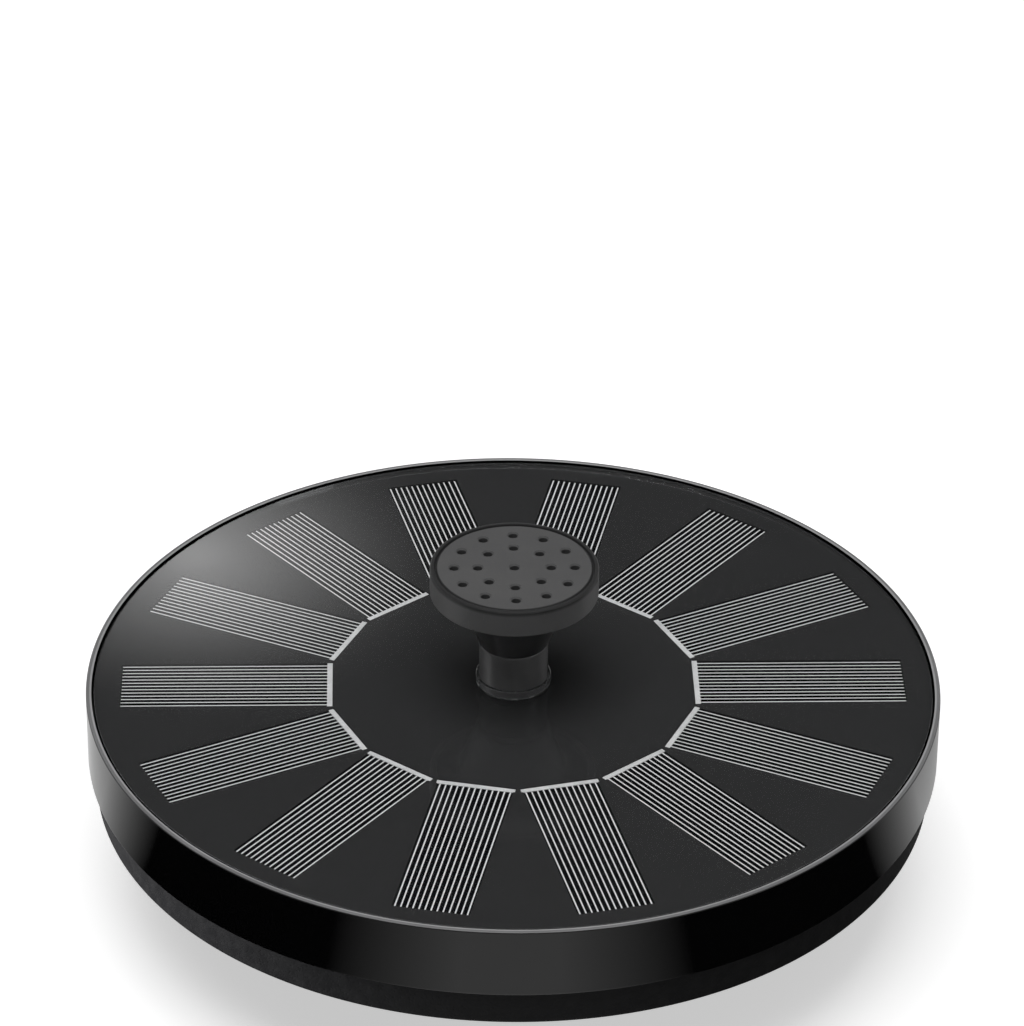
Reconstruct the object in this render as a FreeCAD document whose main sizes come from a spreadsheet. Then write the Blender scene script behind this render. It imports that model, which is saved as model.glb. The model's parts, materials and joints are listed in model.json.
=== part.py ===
# Floating solar fountain pump: a round solar panel on a foam float, with a small brushless pump
# hanging from its middle and a push-on spray nozzle standing on its outlet.
#
# Frame: millimetres, +Z up, origin on the pump's axis at the bottom of the strainer's feet.
# "size" holds the driving dimensions, "level" the heights and radii worked out from them.
# A radius is always a radius here, and every height is measured from the bottom of the feet.
import FreeCAD, Part
import math
import os
import Sketcher

V = FreeCAD.Vector
Z_UP = V(0, 0, 1)

SIZES = {
    # shell and float
    "disc_radius": 80.0,
    "shell_wall": 1.05,
    "shell_height": 13.8,
    "rim_chamfer": 0.3,
    "deck_thickness": 1.6,
    "pump_drop": 22.0,  # how far the pump stands out below the float
    "float_drop": 7.3,  # how far the float stands out below the shell
    "float_clearance": 0.35,
    "float_bore_clearance": 1.1,
    "float_chamfer": 0.8,
    # solar panel
    "panel_gap": 0.4,
    "panel_sink": 0.3,
    "front_thickness": 1.6,
    "front_chamfer": 0.25,
    "mask_thickness": 0.5,
    "board_thickness": 1.2,
    "window_clearance": 0.1,
    "cell_count": 14,
    "cell_width": 13.9,
    "cell_gap": 1.575,
    "cell_thickness": 0.25,
    "cell_margin": 5.15,
    "ribbon_width": 1.0,
    "ribbon_thickness": 0.15,
    "ribbon_overhang": 0.35,
    # outlet spigot and nozzle
    "spigot_radius": 5.4,
    "spigot_height": 4.2,
    "hub_clearance": 0.2,
    "riser_clearance": 0.15,
    "riser_wall": 0.9,
    "riser_height": 9.0,
    "gasket_wall": 0.55,
    "gasket_height": 1.8,
    "gasket_round": 0.25,
    "ring_section": 0.4,  # section radius of the O-rings
    "ring_clearance": 0.05,
    "stem_clearance": 0.1,
    "stem_wall": 1.55,
    "stem_length": 4.3,
    "funnel_overhang": 0.05,
    "dish_ledge": 3.9,
    "funnel_wall": 1.2,
    "head_clearance": 19.8,
    "head_radius": 15.7,
    "head_height": 5.3,
    "head_round": 1.5,
    "head_plate": 1.6,
    "head_skirt": 1.2,
    "dish_clearance": 0.1,
    "dish_thickness": 1.2,
    "jet_radius": 0.85,
    "outer_jets": 12,
    "jet_inset": 3.3,
    "inner_jets": 8,
    "jet_circle_gap": 4.4,
    # pump housing
    "housing_wall": 1.5,
    "volute_gap": 2.0,  # between impeller and chamber wall
    "chamber_height": 5.0,
    "partition_thickness": 1.6,
    "flange_reach": 4.9,
    "flange_thickness": 2.0,
    "boss_radius": 2.2,
    "boss_height": 5.0,
    "screw_offset": 2.6,
    "screw_count": 4,
    "screw_radius": 1.0,
    "screw_clearance": 0.15,
    "pilot_clearance": 0.05,
    "screw_length": 6.0,
    "screw_head_radius": 1.9,
    "screw_head_height": 1.3,
    "recess_width": 0.5,
    "recess_depth": 0.7,
    "cover_thickness": 1.6,
    "cover_margin": 0.1,
    "cover_screw_count": 3,
    "screw_band": 7.4,  # least width of the ring that holds the cover screws
    "cover_screw_pilot": 5.0,
    "inlet_radius": 5.6,
    "arm_width": 1.4,
    # water duct
    "duct_bore": 2.6,
    "duct_wall": 1.0,
    "duct_margin": 0.4,
    "core_margin": 1.2,
    "bend_clearance": 0.8,
    "duct_flange": 1.0,
    "duct_flange_reach": 1.8,
    "duct_clearance": 0.1,
    "duct_ledge": 0.6,
    "exit_angle": 42.0,  # where the channel leaves the chamber, short of the duct
    # rotor and bearings
    "shaft_radius": 1.0,
    "running_clearance": 0.05,
    "cushion_wall": 0.9,
    "seat_wall": 1.0,
    "seat_depth": 2.2,
    "socket_floor": 0.8,
    "boss_rise": 0.9,
    "washer_thickness": 0.5,
    "bush_wall": 0.45,
    "bush_length": 3.0,
    "hub_wall": 1.05,
    "magnet_radius": 5.6,
    "rotor_gap": 0.6,
    "well_wall": 0.7,
    "well_end": 1.2,
    "well_clearance": 0.4,
    "impeller_radius": 12.5,
    "impeller_disc": 1.2,
    "impeller_gap": 0.4,
    "blade_count": 6,
    "blade_thickness": 1.2,
    "blade_clearance": 1.2,
    # stator, potting and driver
    "stator_gap": 0.2,
    "pole_count": 6,
    "pole_width": 2.6,
    "pole_shoe": 1.2,
    "pole_shoe_width": 5.2,
    "coil_build": 1.1,
    "coil_clearance": 0.1,
    "coil_length": 2.6,
    "core_ring": 1.8,
    "well_stand": 0.8,
    "potting_cover": 1.5,
    "potting_clearance": 0.05,
    "driver_gap": 2.1,
    "driver_margin": 1.2,
    "driver_thickness": 1.0,
    "driver_angle": 150.0,
    "chip_length": 5.0,
    "chip_width": 4.0,
    "chip_height": 1.5,
    "chip_angle": 155.0,
    "capacitor_radius": 2.4,
    "capacitor_height": 5.4,
    "capacitor_angle": 207.0,
    "lead_radius": 0.6,
    "lead_spacing": 2.4,
    "lead_margin": 2.8,
    "lead_foot_shift": 0.5,
    "lead_hole": 2.6,
    # strainer cap
    "foot_height": 1.5,
    "foot_radius": 2.2,
    "foot_count": 4,
    "cap_floor": 2.0,
    "cap_wall": 1.5,
    "cap_clearance": 0.15,
    "cap_engagement": 8.0,
    "plenum_height": 6.0,
    "side_slot_count": 28,
    "side_slot_width": 1.8,
    "side_slot_margin": 1.0,
    "floor_slot_count": 18,
    "floor_slot_width": 1.8,
    "floor_slot_start": 7.0,
    "floor_slot_margin": 0.8,
    "grip_count": 40,
    "grip_radius": 0.45,
}

LEVELS = {
    # strainer and pump, from the feet upwards
    "cap_floor_top": "size.foot_height + size.cap_floor",
    "cover_bottom": "level.cap_floor_top + size.plenum_height",
    "chamber_bottom": "level.cover_bottom + size.cover_thickness",
    "chamber_top": "level.chamber_bottom + size.chamber_height",
    "motor_floor": "level.chamber_top + size.partition_thickness",
    "cap_top": "level.chamber_bottom + size.cap_engagement",
    # float, shell and panel
    "shell_bottom": "size.pump_drop + size.float_drop",
    "rim_top": "level.shell_bottom + size.shell_height",
    "front_top": "level.rim_top - size.panel_sink",
    "front_bottom": "level.front_top - size.front_thickness",
    "board_top": "level.front_bottom - size.mask_thickness",
    "deck_top": "level.board_top - size.board_thickness",
    "deck_bottom": "level.deck_top - size.deck_thickness",
    "wall_inside": "size.disc_radius - size.shell_wall",
    "panel_radius": "level.wall_inside - size.panel_gap",
    "panel_hole": "size.spigot_radius + size.hub_clearance",
    "float_radius": "level.wall_inside - size.float_clearance",
    "cell_inner": "(size.cell_width + size.cell_gap) / (2 * tan(180 / size.cell_count))",
    "cell_outer": "level.panel_radius - size.cell_margin",
    "cell_length": "level.cell_outer - level.cell_inner",
    "cell_top": "level.board_top + size.cell_thickness",
    "ribbon_length": "size.cell_width + 2 * size.ribbon_overhang",
    # duct
    "duct_radius": "size.duct_bore + size.duct_wall",
    "duct_bend": "level.duct_radius + size.bend_clearance",
    "hub_bore": "level.duct_radius + size.duct_clearance",
    "duct_axis": "level.deck_bottom - size.duct_flange - level.duct_bend",
    "duct_foot": "level.chamber_top + size.duct_ledge",
    "duct_underside": "level.duct_axis - level.duct_radius",
    # spigot, riser and nozzle
    "seal_inner": "level.hub_bore + size.ring_clearance",
    "seal_outer": "level.seal_inner + 2 * size.ring_section + size.ring_clearance",
    "seal_depth": "2 * size.ring_section + 2 * size.ring_clearance",
    "spigot_top": "level.front_top + size.spigot_height",
    "spigot_ring": "level.front_top + size.spigot_height * 0.6",
    "riser_bore": "size.spigot_radius + size.riser_clearance",
    "riser_radius": "level.riser_bore + size.riser_wall",
    "riser_top": "level.front_top + size.riser_height",
    "gasket_bore": "level.riser_radius + size.ring_clearance",
    "stem_radius": "level.riser_bore - size.stem_clearance",
    "stem_bore": "level.stem_radius - size.stem_wall",
    "stem_bottom": "level.riser_top - size.stem_length",
    "stem_ring": "level.riser_top - size.stem_length / 2",
    "ring_centre": "level.riser_bore - size.ring_clearance - size.ring_section",
    "groove_floor": "level.ring_centre - size.ring_section - size.ring_clearance",
    "groove_half": "size.ring_section + 2 * size.ring_clearance",
    "funnel_foot": "level.riser_radius + size.funnel_overhang",
    "head_bottom": "level.front_top + size.head_clearance",
    "head_top": "level.head_bottom + size.head_height",
    "skirt_inside": "size.head_radius - size.head_skirt",
    "dish_radius": "level.skirt_inside - size.dish_clearance",
    "funnel_radius": "level.dish_radius - size.dish_ledge",
    "outer_jet_circle": "level.skirt_inside - size.jet_inset",
    "inner_jet_circle": "level.outer_jet_circle - size.jet_circle_gap",
    # rotor well, rotor and stator
    "well_radius": "size.magnet_radius + size.rotor_gap",
    "well_outside": "level.well_radius + size.well_wall",
    "well_top": "level.duct_underside - size.well_clearance",
    "well_ceiling": "level.well_top - size.well_end",
    "bearing_bore": "size.shaft_radius + size.running_clearance",
    "cushion_radius": "level.bearing_bore + size.cushion_wall",
    "seat_radius": "level.cushion_radius + size.running_clearance",
    "seat_bottom": "level.well_ceiling - size.seat_depth",
    "socket_bottom": "level.cover_bottom + size.socket_floor",
    "boss_top": "level.chamber_bottom + size.boss_rise",
    "bush_radius": "level.bearing_bore + size.bush_wall",
    "hub_hole": "level.bush_radius + size.running_clearance",
    "hub_radius": "level.hub_hole + size.hub_wall",
    "rotor_bottom": "level.boss_top + size.washer_thickness + 2 * size.running_clearance",
    "rotor_top": "level.seat_bottom - size.washer_thickness - 2 * size.running_clearance",
    "blade_bottom": "level.chamber_bottom + size.impeller_gap",
    "disc_top": "level.chamber_top - size.impeller_gap",
    "disc_bottom": "level.disc_top - size.impeller_disc",
    "blade_start": "level.seat_radius + size.seat_wall + size.blade_clearance",
    "pole_tip": "level.well_outside + size.stator_gap",
    "coil_half_width": "size.pole_width / 2 + size.coil_clearance + size.coil_build",
    "coil_inner": "level.pole_tip + size.pole_shoe + size.coil_clearance",
    "coil_outer": "level.coil_inner + size.coil_length",
    "core_inside": "sqrt(level.coil_outer ^ 2 + level.coil_half_width ^ 2) + size.coil_clearance",
    "core_radius": "level.core_inside + size.core_ring",
    "potting_top": "level.well_top - size.well_stand",
    "cavity_top": "level.potting_top - size.potting_cover",
    "coil_bottom": "level.motor_floor + size.coil_clearance",
    "coil_top": "level.cavity_top - size.coil_clearance",
    "core_bottom": "level.coil_bottom + size.coil_build + size.coil_clearance",
    "core_top": "level.coil_top - size.coil_build - size.coil_clearance",
    "driver_top": "level.potting_top + size.driver_thickness",
    # housing: as wide as the stator and the duct beside it need, or the volute and its screws
    "chamber_radius": "size.impeller_radius + size.volute_gap",
    "beside_core": "level.core_radius + size.core_margin + 2 * level.duct_radius + size.duct_margin",
    "beside_chamber": "level.chamber_radius + size.screw_band",
    "housing_inside": "max(level.beside_core; level.beside_chamber)",
    "housing_radius": "level.housing_inside + size.housing_wall",
    "cover_screw_circle": "(level.chamber_radius + level.housing_radius) / 2",
    "duct_offset": "level.housing_inside - size.duct_margin - level.duct_radius",
    "exit_x": "(level.chamber_radius - size.duct_bore) * cos(size.exit_angle)",
    "exit_y": "0 - (level.chamber_radius - size.duct_bore) * sin(size.exit_angle)",
    "exit_length": "sqrt((level.duct_offset - level.exit_x) ^ 2 + level.exit_y ^ 2)",
    "exit_side_x": "0 - size.duct_bore * level.exit_y / level.exit_length",
    "exit_side_y": "size.duct_bore * (level.duct_offset - level.exit_x) / level.exit_length",
    "flange_radius": "level.housing_radius + size.flange_reach",
    "screw_circle": "level.housing_radius + size.screw_offset",
    "flange_top": "level.deck_bottom - size.boss_height",
    "flange_bottom": "level.flange_top - size.flange_thickness",
    "float_bore": "level.flange_radius + size.float_bore_clearance",
    "cover_radius": "level.housing_radius - size.cover_margin",
    "cap_inside": "level.housing_radius + size.cap_clearance",
    "cap_radius": "level.cap_inside + size.cap_wall",
    "plenum_radius": "level.cap_radius - 2 * size.cap_wall",
    "foot_circle": "level.plenum_radius - size.foot_radius",
    "floor_slot_end": "level.foot_circle - size.foot_radius - size.floor_slot_margin",
    # driver and leads
    "driver_inner": "level.well_outside + size.driver_gap",
    "driver_outer": "level.housing_inside - size.driver_margin",
    "part_circle": "(level.driver_inner + level.driver_outer) / 2",
    "lead_top_reach": "level.panel_hole + size.lead_hole + size.lead_margin",
    "lead_foot_reach": "level.part_circle + size.lead_foot_shift",
}

doc = FreeCAD.newDocument("solar_fountain_pump")


def make_sheet():
    """The driving dimensions as a spreadsheet with one alias for each."""
    sheet = doc.addObject("Spreadsheet::Sheet", "size")
    for row, (name, value) in enumerate(SIZES.items(), start=1):
        sheet.set(f"A{row}", name)
        sheet.set(f"B{row}", str(value))
        sheet.setAlias(f"B{row}", name)
    doc.recompute()
    return sheet


def make_levels():
    """The heights and radii that follow from the driving dimensions."""
    levels = doc.addObject("App::VarSet", "level")
    for name, formula in LEVELS.items():
        levels.addProperty("App::PropertyFloat", name)
        levels.setExpression(name, formula)
    doc.recompute()
    return levels


size = make_sheet()
level = make_levels()


def number(expression):
    """What an expression over size and level comes to."""
    return float(size.evalExpression(expression))


# ---- building blocks ----------------------------------------------------------------------------


def new_body(label, turn=0.0):
    """An empty PartDesign body, turned about Z by a number of degrees."""
    body = doc.addObject("PartDesign::Body", label)
    body.Label = label
    body.Placement = FreeCAD.Placement(V(0, 0, 0), FreeCAD.Rotation(Z_UP, turn))
    return body


def origin_feature(body, role):
    return next(f for f in body.Origin.OriginFeatures if f.Role == role)


def new_sketch(body, plane="XZ_Plane", offset="0"):
    """A sketch on one of the body's own origin planes, moved along its normal by offset."""
    sketch = body.newObject("Sketcher::SketchObject", "sketch")
    sketch.AttachmentSupport = [(origin_feature(body, plane), "")]
    sketch.MapMode = "FlatFace"
    sketch.setExpression("AttachmentOffset.Base.z", offset)
    return sketch


def bind(sketch, constraint, expression):
    """Adds a constraint whose value follows an expression."""
    index = sketch.addConstraint(constraint)
    sketch.setExpression(f"Constraints[{index}]", expression)


def pin_point(sketch, curve, end, x, y):
    """Holds one end of a curve at the point that two expressions give."""
    for kind, expression in (("DistanceX", x), ("DistanceY", y)):
        value = number(expression)
        bind(sketch, Sketcher.Constraint(kind, -1, 1, curve, end, value), expression)


def add_curves(sketch, corners, closed):
    """Draws lines through (x, y) corners; a third item, (centre x, centre y, radius), makes the
    stretch from that corner to the next the shorter arc about that centre."""
    points = [V(number(c[0]), number(c[1]), 0) for c in corners]
    first = sketch.GeometryCount
    ends = []
    for k in range(len(corners) if closed else len(corners) - 1):
        start, stop = points[k], points[(k + 1) % len(points)]
        if len(corners[k]) == 2:
            sketch.addGeometry(Part.LineSegment(start, stop), False)
            ends.append((1, 2))
            continue
        centre_x, centre_y, radius = corners[k][2]
        centre = V(number(centre_x), number(centre_y), 0)
        anticlockwise = (start - centre).cross(stop - centre).z > -1e-6
        if not anticlockwise:
            start, stop = stop, start
        angles = [math.atan2(p.y - centre.y, p.x - centre.x) for p in (start, stop)]
        if angles[1] <= angles[0]:
            angles[1] += 2 * math.pi
        circle = Part.Circle(centre, Z_UP, number(radius))
        sketch.addGeometry(Part.ArcOfCircle(circle, *angles), False)
        ends.append((1, 2) if anticlockwise else (2, 1))
    return first, ends


def draw(sketch, corners, closed=True):
    """An outline or an open path through the corners, held to them by constraints."""
    first, ends = add_curves(sketch, corners, closed)
    count = len(ends)
    for k in range(count if closed else count - 1):
        after = (k + 1) % count
        sketch.addConstraint(
            Sketcher.Constraint("Coincident", first + k, ends[k][1], first + after, ends[after][0])
        )
    for k in range(count):
        pin_point(sketch, first + k, ends[k][0], corners[k][0], corners[k][1])
        if len(corners[k]) == 3:
            centre_x = corners[k][2][0]
            centre = Sketcher.Constraint("DistanceX", -1, 1, first + k, 3, number(centre_x))
            bind(sketch, centre, centre_x)
    if not closed:
        pin_point(sketch, first + count - 1, ends[-1][1], corners[-1][0], corners[-1][1])


def circle_at(sketch, x, y, radius):
    """A circle whose centre and radius follow expressions."""
    centre = V(number(x), number(y), 0)
    curve = sketch.addGeometry(Part.Circle(centre, Z_UP, number(radius)), False)
    pin_point(sketch, curve, 3, x, y)
    bind(sketch, Sketcher.Constraint("Radius", curve, number(radius)), radius)


def box_outline(sketch, x_low, x_high, half_width):
    """A rectangle from x_low to x_high, centred on the sketch's x axis."""
    low, high = f"0 - ({half_width})", half_width
    draw(sketch, [(x_low, low), (x_high, low), (x_high, high), (x_low, high)])


def revolve(body, corners):
    """Turns an outline of (radius, height) corners about the body's Z axis."""
    sketch = new_sketch(body)
    draw(sketch, corners)
    feature = body.newObject("PartDesign::Revolution", "revolution")
    feature.Profile = sketch
    feature.ReferenceAxis = (sketch, ["V_Axis"])
    feature.Angle = 360
    sketch.Visibility = False
    doc.recompute()
    return feature


def extrude(body, kind, sketch, length, reverse=False):
    """A Pad or a Pocket of a sketch, with its volume checked so that a cut really cuts."""
    before = 0 if body.Shape.isNull() else body.Shape.Volume
    feature = body.newObject(f"PartDesign::{kind}", kind.lower())
    feature.Profile = sketch
    feature.setExpression("Length", length)
    feature.Reversed = reverse
    doc.recompute()
    changed = body.Shape.Volume - before
    if (kind == "Pocket" and changed >= 0) or (kind == "Pad" and changed <= 0):
        raise RuntimeError(f"{body.Label}: a {kind} changes nothing")
    return feature


def around(body, feature, count):
    """Repeats a feature round the body's Z axis."""
    pattern = body.newObject("PartDesign::PolarPattern", "pattern")
    pattern.Originals = [feature]
    pattern.Axis = (origin_feature(body, "Z_Axis"), [""])
    pattern.Angle = 360
    pattern.setExpression("Occurrences", count)
    body.Tip = pattern
    doc.recompute()
    return pattern


def ring(label, inner, outer, bottom, top):
    """A plain ring or, with an inner radius of 0, a disc."""
    body = new_body(label)
    revolve(body, [(inner, bottom), (outer, bottom), (outer, top), (inner, top)])
    return body


def seal_ring(label, centre_radius, height):
    """An O-ring."""
    torus = doc.addObject("Part::Torus", label)
    torus.Label = label
    torus.setExpression("Radius1", centre_radius)
    torus.setExpression("Radius2", "size.ring_section")
    torus.setExpression("Placement.Base.z", height)
    return torus


def radial_box(label, index, inner, length, width, bottom, thickness):
    """A flat box that lies along the spoke of the solar cell of that number."""
    box = doc.addObject("Part::Box", label)
    box.Label = label
    angle = f"({index} * 360 / size.cell_count)"
    box.setExpression("Length", length)
    box.setExpression("Width", width)
    box.setExpression("Height", thickness)
    box.Placement = FreeCAD.Placement(V(0, 0, 0), FreeCAD.Rotation(Z_UP, 1))
    half = f"({width}) / 2"
    box.setExpression("Placement.Base.x", f"({inner}) * cos{angle} + {half} * sin{angle}")
    box.setExpression("Placement.Base.y", f"({inner}) * sin{angle} - {half} * cos{angle}")
    box.setExpression("Placement.Base.z", bottom)
    box.setExpression("Placement.Rotation.Angle", f"{index} * 360 / size.cell_count")
    return box


def group(label, members):
    """Several separate solids in one node."""
    compound = doc.addObject("Part::Compound", label)
    compound.Label = label
    compound.Links = members
    return compound


def pipe(body, kind, path, section):
    """An AdditivePipe or a SubtractivePipe of a section sketch along a path sketch."""
    feature = body.newObject(f"PartDesign::{kind}", kind.lower())
    feature.Profile = section
    feature.Spine = (path, [f"Edge{k + 1}" for k in range(len(path.Shape.Edges))])
    path.Visibility = False
    section.Visibility = False
    doc.recompute()
    return feature


# ---- shell, float and panel ---------------------------------------------------------------------


def upper_shell():
    """Outer wall and rim, the deck that carries the panel, and the outlet spigot in its middle."""
    body = new_body("upper_shell")
    ring_low = "level.spigot_ring - level.groove_half"
    ring_high = "level.spigot_ring + level.groove_half"
    revolve(
        body,
        [
            ("level.wall_inside", "level.shell_bottom"),
            ("size.disc_radius", "level.shell_bottom"),
            ("size.disc_radius", "level.rim_top - size.rim_chamfer"),
            ("size.disc_radius - size.rim_chamfer", "level.rim_top"),
            ("level.wall_inside", "level.rim_top"),
            ("level.wall_inside", "level.deck_top"),
            ("size.spigot_radius", "level.deck_top"),
            ("size.spigot_radius", ring_low),
            ("level.groove_floor", ring_low),
            ("level.groove_floor", ring_high),
            ("size.spigot_radius", ring_high),
            ("size.spigot_radius", "level.spigot_top"),
            ("level.hub_bore", "level.spigot_top"),
            ("level.hub_bore", "level.deck_bottom + level.seal_depth"),
            ("level.seal_outer", "level.deck_bottom + level.seal_depth"),
            ("level.seal_outer", "level.deck_bottom"),
            ("level.wall_inside", "level.deck_bottom"),
        ],
    )
    boss = new_sketch(body, "XY_Plane", "level.deck_bottom")
    screw_place(boss, "size.boss_radius")
    around(body, extrude(body, "Pad", boss, "size.boss_height", reverse=True), "size.screw_count")
    pilot = new_sketch(body, "XY_Plane", "level.flange_top")
    screw_place(pilot, "size.screw_radius + size.pilot_clearance")
    cut = extrude(body, "Pocket", pilot, "size.boss_height + size.deck_thickness / 2", reverse=True)
    around(body, cut, "size.screw_count")
    wire_hole = new_sketch(body, "XY_Plane", "level.deck_top")
    circle_at(wire_hole, "0 - level.lead_top_reach", "0", "size.lead_hole")
    extrude(body, "Pocket", wire_hole, "size.deck_thickness")
    return body


def screw_place(sketch, radius):
    """A circle where the first housing screw goes, half a step round from the +X axis."""
    x = "level.screw_circle * cos(180 / size.screw_count)"
    y = "level.screw_circle * sin(180 / size.screw_count)"
    circle_at(sketch, x, y, radius)


def float_ring():
    """Closed-cell foam ring, pressed into the shell under its deck."""
    body = new_body("float_ring")
    revolve(
        body,
        [
            ("level.float_bore + size.float_chamfer", "size.pump_drop"),
            ("level.float_radius - size.float_chamfer", "size.pump_drop"),
            ("level.float_radius", "size.pump_drop + size.float_chamfer"),
            ("level.float_radius", "level.deck_bottom"),
            ("level.float_bore", "level.deck_bottom"),
            ("level.float_bore", "size.pump_drop + size.float_chamfer"),
        ],
    )
    return body


def panel_layers():
    """Circuit board, masking sheet and clear front of the panel."""
    layers = [ring("panel_board", "level.panel_hole", "level.panel_radius",
                   "level.deck_top", "level.board_top")]
    mask = ring("mask_sheet", "level.panel_hole", "level.panel_radius",
                "level.board_top", "level.front_bottom")
    window = new_sketch(mask, "XY_Plane", "level.front_bottom")
    inner = "level.cell_inner - size.window_clearance"
    step = "level.cell_inner + size.ribbon_width + size.window_clearance"
    outer = "level.cell_outer + size.window_clearance"
    ribbon_half = "(level.ribbon_length / 2 + size.window_clearance)"
    cell_half = "(size.cell_width / 2 + size.window_clearance)"
    right = [(inner, f"0 - {ribbon_half}"), (step, f"0 - {ribbon_half}"),
             (step, f"0 - {cell_half}"), (outer, f"0 - {cell_half}")]
    left = [(outer, cell_half), (step, cell_half), (step, ribbon_half), (inner, ribbon_half)]
    draw(window, right + left)
    around(mask, extrude(mask, "Pocket", window, "size.mask_thickness"), "size.cell_count")
    layers.append(mask)
    front = new_body("clear_front")
    revolve(
        front,
        [
            ("level.panel_hole", "level.front_bottom"),
            ("level.panel_radius", "level.front_bottom"),
            ("level.panel_radius", "level.front_top - size.front_chamfer"),
            ("level.panel_radius - size.front_chamfer", "level.front_top"),
            ("level.panel_hole", "level.front_top"),
        ],
    )
    layers.append(front)
    return layers


def solar_cells():
    """The cells, each a node, and the ribbons across their inner ends as one node."""
    count = int(number("size.cell_count"))
    cells = [
        radial_box(f"solar_cell_{k + 1:02d}", k, "level.cell_inner", "level.cell_length",
                   "size.cell_width", "level.board_top", "size.cell_thickness")
        for k in range(count)
    ]
    ribbons = [
        radial_box(f"ribbon_{k + 1:02d}", k, "level.cell_inner", "size.ribbon_width",
                   "level.ribbon_length", "level.cell_top", "size.ribbon_thickness")
        for k in range(count)
    ]
    return cells + [group("cell_ribbons", ribbons)]


# ---- riser and spray nozzle ---------------------------------------------------------------------


def riser_parts():
    """The riser tube over the spigot, its clear gasket on the panel and the spigot's O-ring."""
    tube = ring("riser_tube", "level.riser_bore", "level.riser_radius",
                "level.front_top", "level.riser_top")
    gasket = new_body("riser_gasket")
    outer = "level.gasket_bore + size.gasket_wall"
    top = "level.front_top + size.gasket_height"
    revolve(
        gasket,
        [
            ("level.gasket_bore", "level.front_top"),
            (outer, "level.front_top"),
            (outer, f"{top} - size.gasket_round",
             (f"{outer} - size.gasket_round", f"{top} - size.gasket_round", "size.gasket_round")),
            (f"{outer} - size.gasket_round", top),
            ("level.gasket_bore", top),
        ],
    )
    return [tube, gasket, seal_ring("spigot_o_ring", "level.ring_centre", "level.spigot_ring")]


def nozzle_parts():
    """The funnel-shaped nozzle cup, the spray cap over it and the stem's O-ring."""
    cup = new_body("nozzle_cup")
    ring_low = "level.stem_ring - level.groove_half"
    ring_high = "level.stem_ring + level.groove_half"
    revolve(
        cup,
        [
            ("level.stem_bore", "level.stem_bottom"),
            ("level.stem_radius", "level.stem_bottom"),
            ("level.stem_radius", ring_low),
            ("level.groove_floor", ring_low),
            ("level.groove_floor", ring_high),
            ("level.stem_radius", ring_high),
            ("level.stem_radius", "level.riser_top"),
            ("level.funnel_foot", "level.riser_top"),
            ("level.funnel_radius", "level.head_bottom"),
            ("level.dish_radius", "level.head_bottom"),
            ("level.dish_radius", "level.head_bottom + size.dish_thickness"),
            ("level.funnel_radius - size.funnel_wall", "level.head_bottom + size.dish_thickness"),
            ("level.stem_bore", "level.riser_top + size.funnel_wall"),
        ],
    )
    cap = new_body("spray_cap")
    shoulder = "level.head_top - size.head_round"
    revolve(
        cap,
        [
            ("level.skirt_inside", "level.head_bottom"),
            ("size.head_radius", "level.head_bottom"),
            ("size.head_radius", shoulder,
             ("size.head_radius - size.head_round", shoulder, "size.head_round")),
            ("size.head_radius - size.head_round", "level.head_top"),
            ("0", "level.head_top"),
            ("0", "level.head_top - size.head_plate"),
            ("level.skirt_inside", "level.head_top - size.head_plate"),
        ],
    )
    jets = (("level.outer_jet_circle", "size.outer_jets"), ("level.inner_jet_circle", "size.inner_jets"))
    for circle, count in jets:
        sketch = new_sketch(cap, "XY_Plane", "level.head_top")
        circle_at(sketch, circle, "0", "size.jet_radius")
        around(cap, extrude(cap, "Pocket", sketch, "size.head_plate"), count)
    centre_jet = new_sketch(cap, "XY_Plane", "level.head_top")
    circle_at(centre_jet, "0", "0", "size.jet_radius")
    extrude(cap, "Pocket", centre_jet, "size.head_plate")
    return [cup, cap, seal_ring("nozzle_o_ring", "level.ring_centre", "level.stem_ring")]


# ---- pump housing and duct ----------------------------------------------------------------------


def pump_housing():
    """Volute below, motor compartment above and the rotor's well between them, in one moulding."""
    body = new_body("pump_housing")
    seat_outer = "level.seat_radius + size.seat_wall"
    revolve(
        body,
        [
            ("0", "level.well_top"),
            ("0", "level.well_ceiling"),
            ("level.seat_radius", "level.well_ceiling"),
            ("level.seat_radius", "level.seat_bottom"),
            (seat_outer, "level.seat_bottom"),
            (seat_outer, "level.well_ceiling"),
            ("level.well_radius", "level.well_ceiling"),
            ("level.well_radius", "level.chamber_top"),
            ("level.chamber_radius", "level.chamber_top"),
            ("level.chamber_radius", "level.chamber_bottom"),
            ("level.housing_radius", "level.chamber_bottom"),
            ("level.housing_radius", "level.flange_bottom"),
            ("level.flange_radius", "level.flange_bottom"),
            ("level.flange_radius", "level.flange_top"),
            ("level.housing_radius", "level.flange_top"),
            ("level.housing_radius", "level.deck_bottom"),
            ("level.housing_inside", "level.deck_bottom"),
            ("level.housing_inside", "level.motor_floor"),
            ("level.well_outside", "level.motor_floor"),
            ("level.well_outside", "level.well_top"),
        ],
    )
    volute_exit(body)
    seat = new_sketch(body, "XY_Plane", "level.motor_floor")
    circle_at(seat, "level.duct_offset", "0", "level.duct_radius + size.duct_clearance")
    extrude(body, "Pocket", seat, "size.partition_thickness - size.duct_ledge")
    hole = new_sketch(body, "XY_Plane", "level.flange_top")
    screw_place(hole, "size.screw_radius + size.screw_clearance")
    around(body, extrude(body, "Pocket", hole, "size.flange_thickness"), "size.screw_count")
    pilot = new_sketch(body, "XY_Plane", "level.chamber_bottom")
    cover_screw_place(pilot, "size.screw_radius + size.pilot_clearance")
    cut = extrude(body, "Pocket", pilot, "size.cover_screw_pilot", reverse=True)
    around(body, cut, "size.cover_screw_count")
    return body


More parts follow.
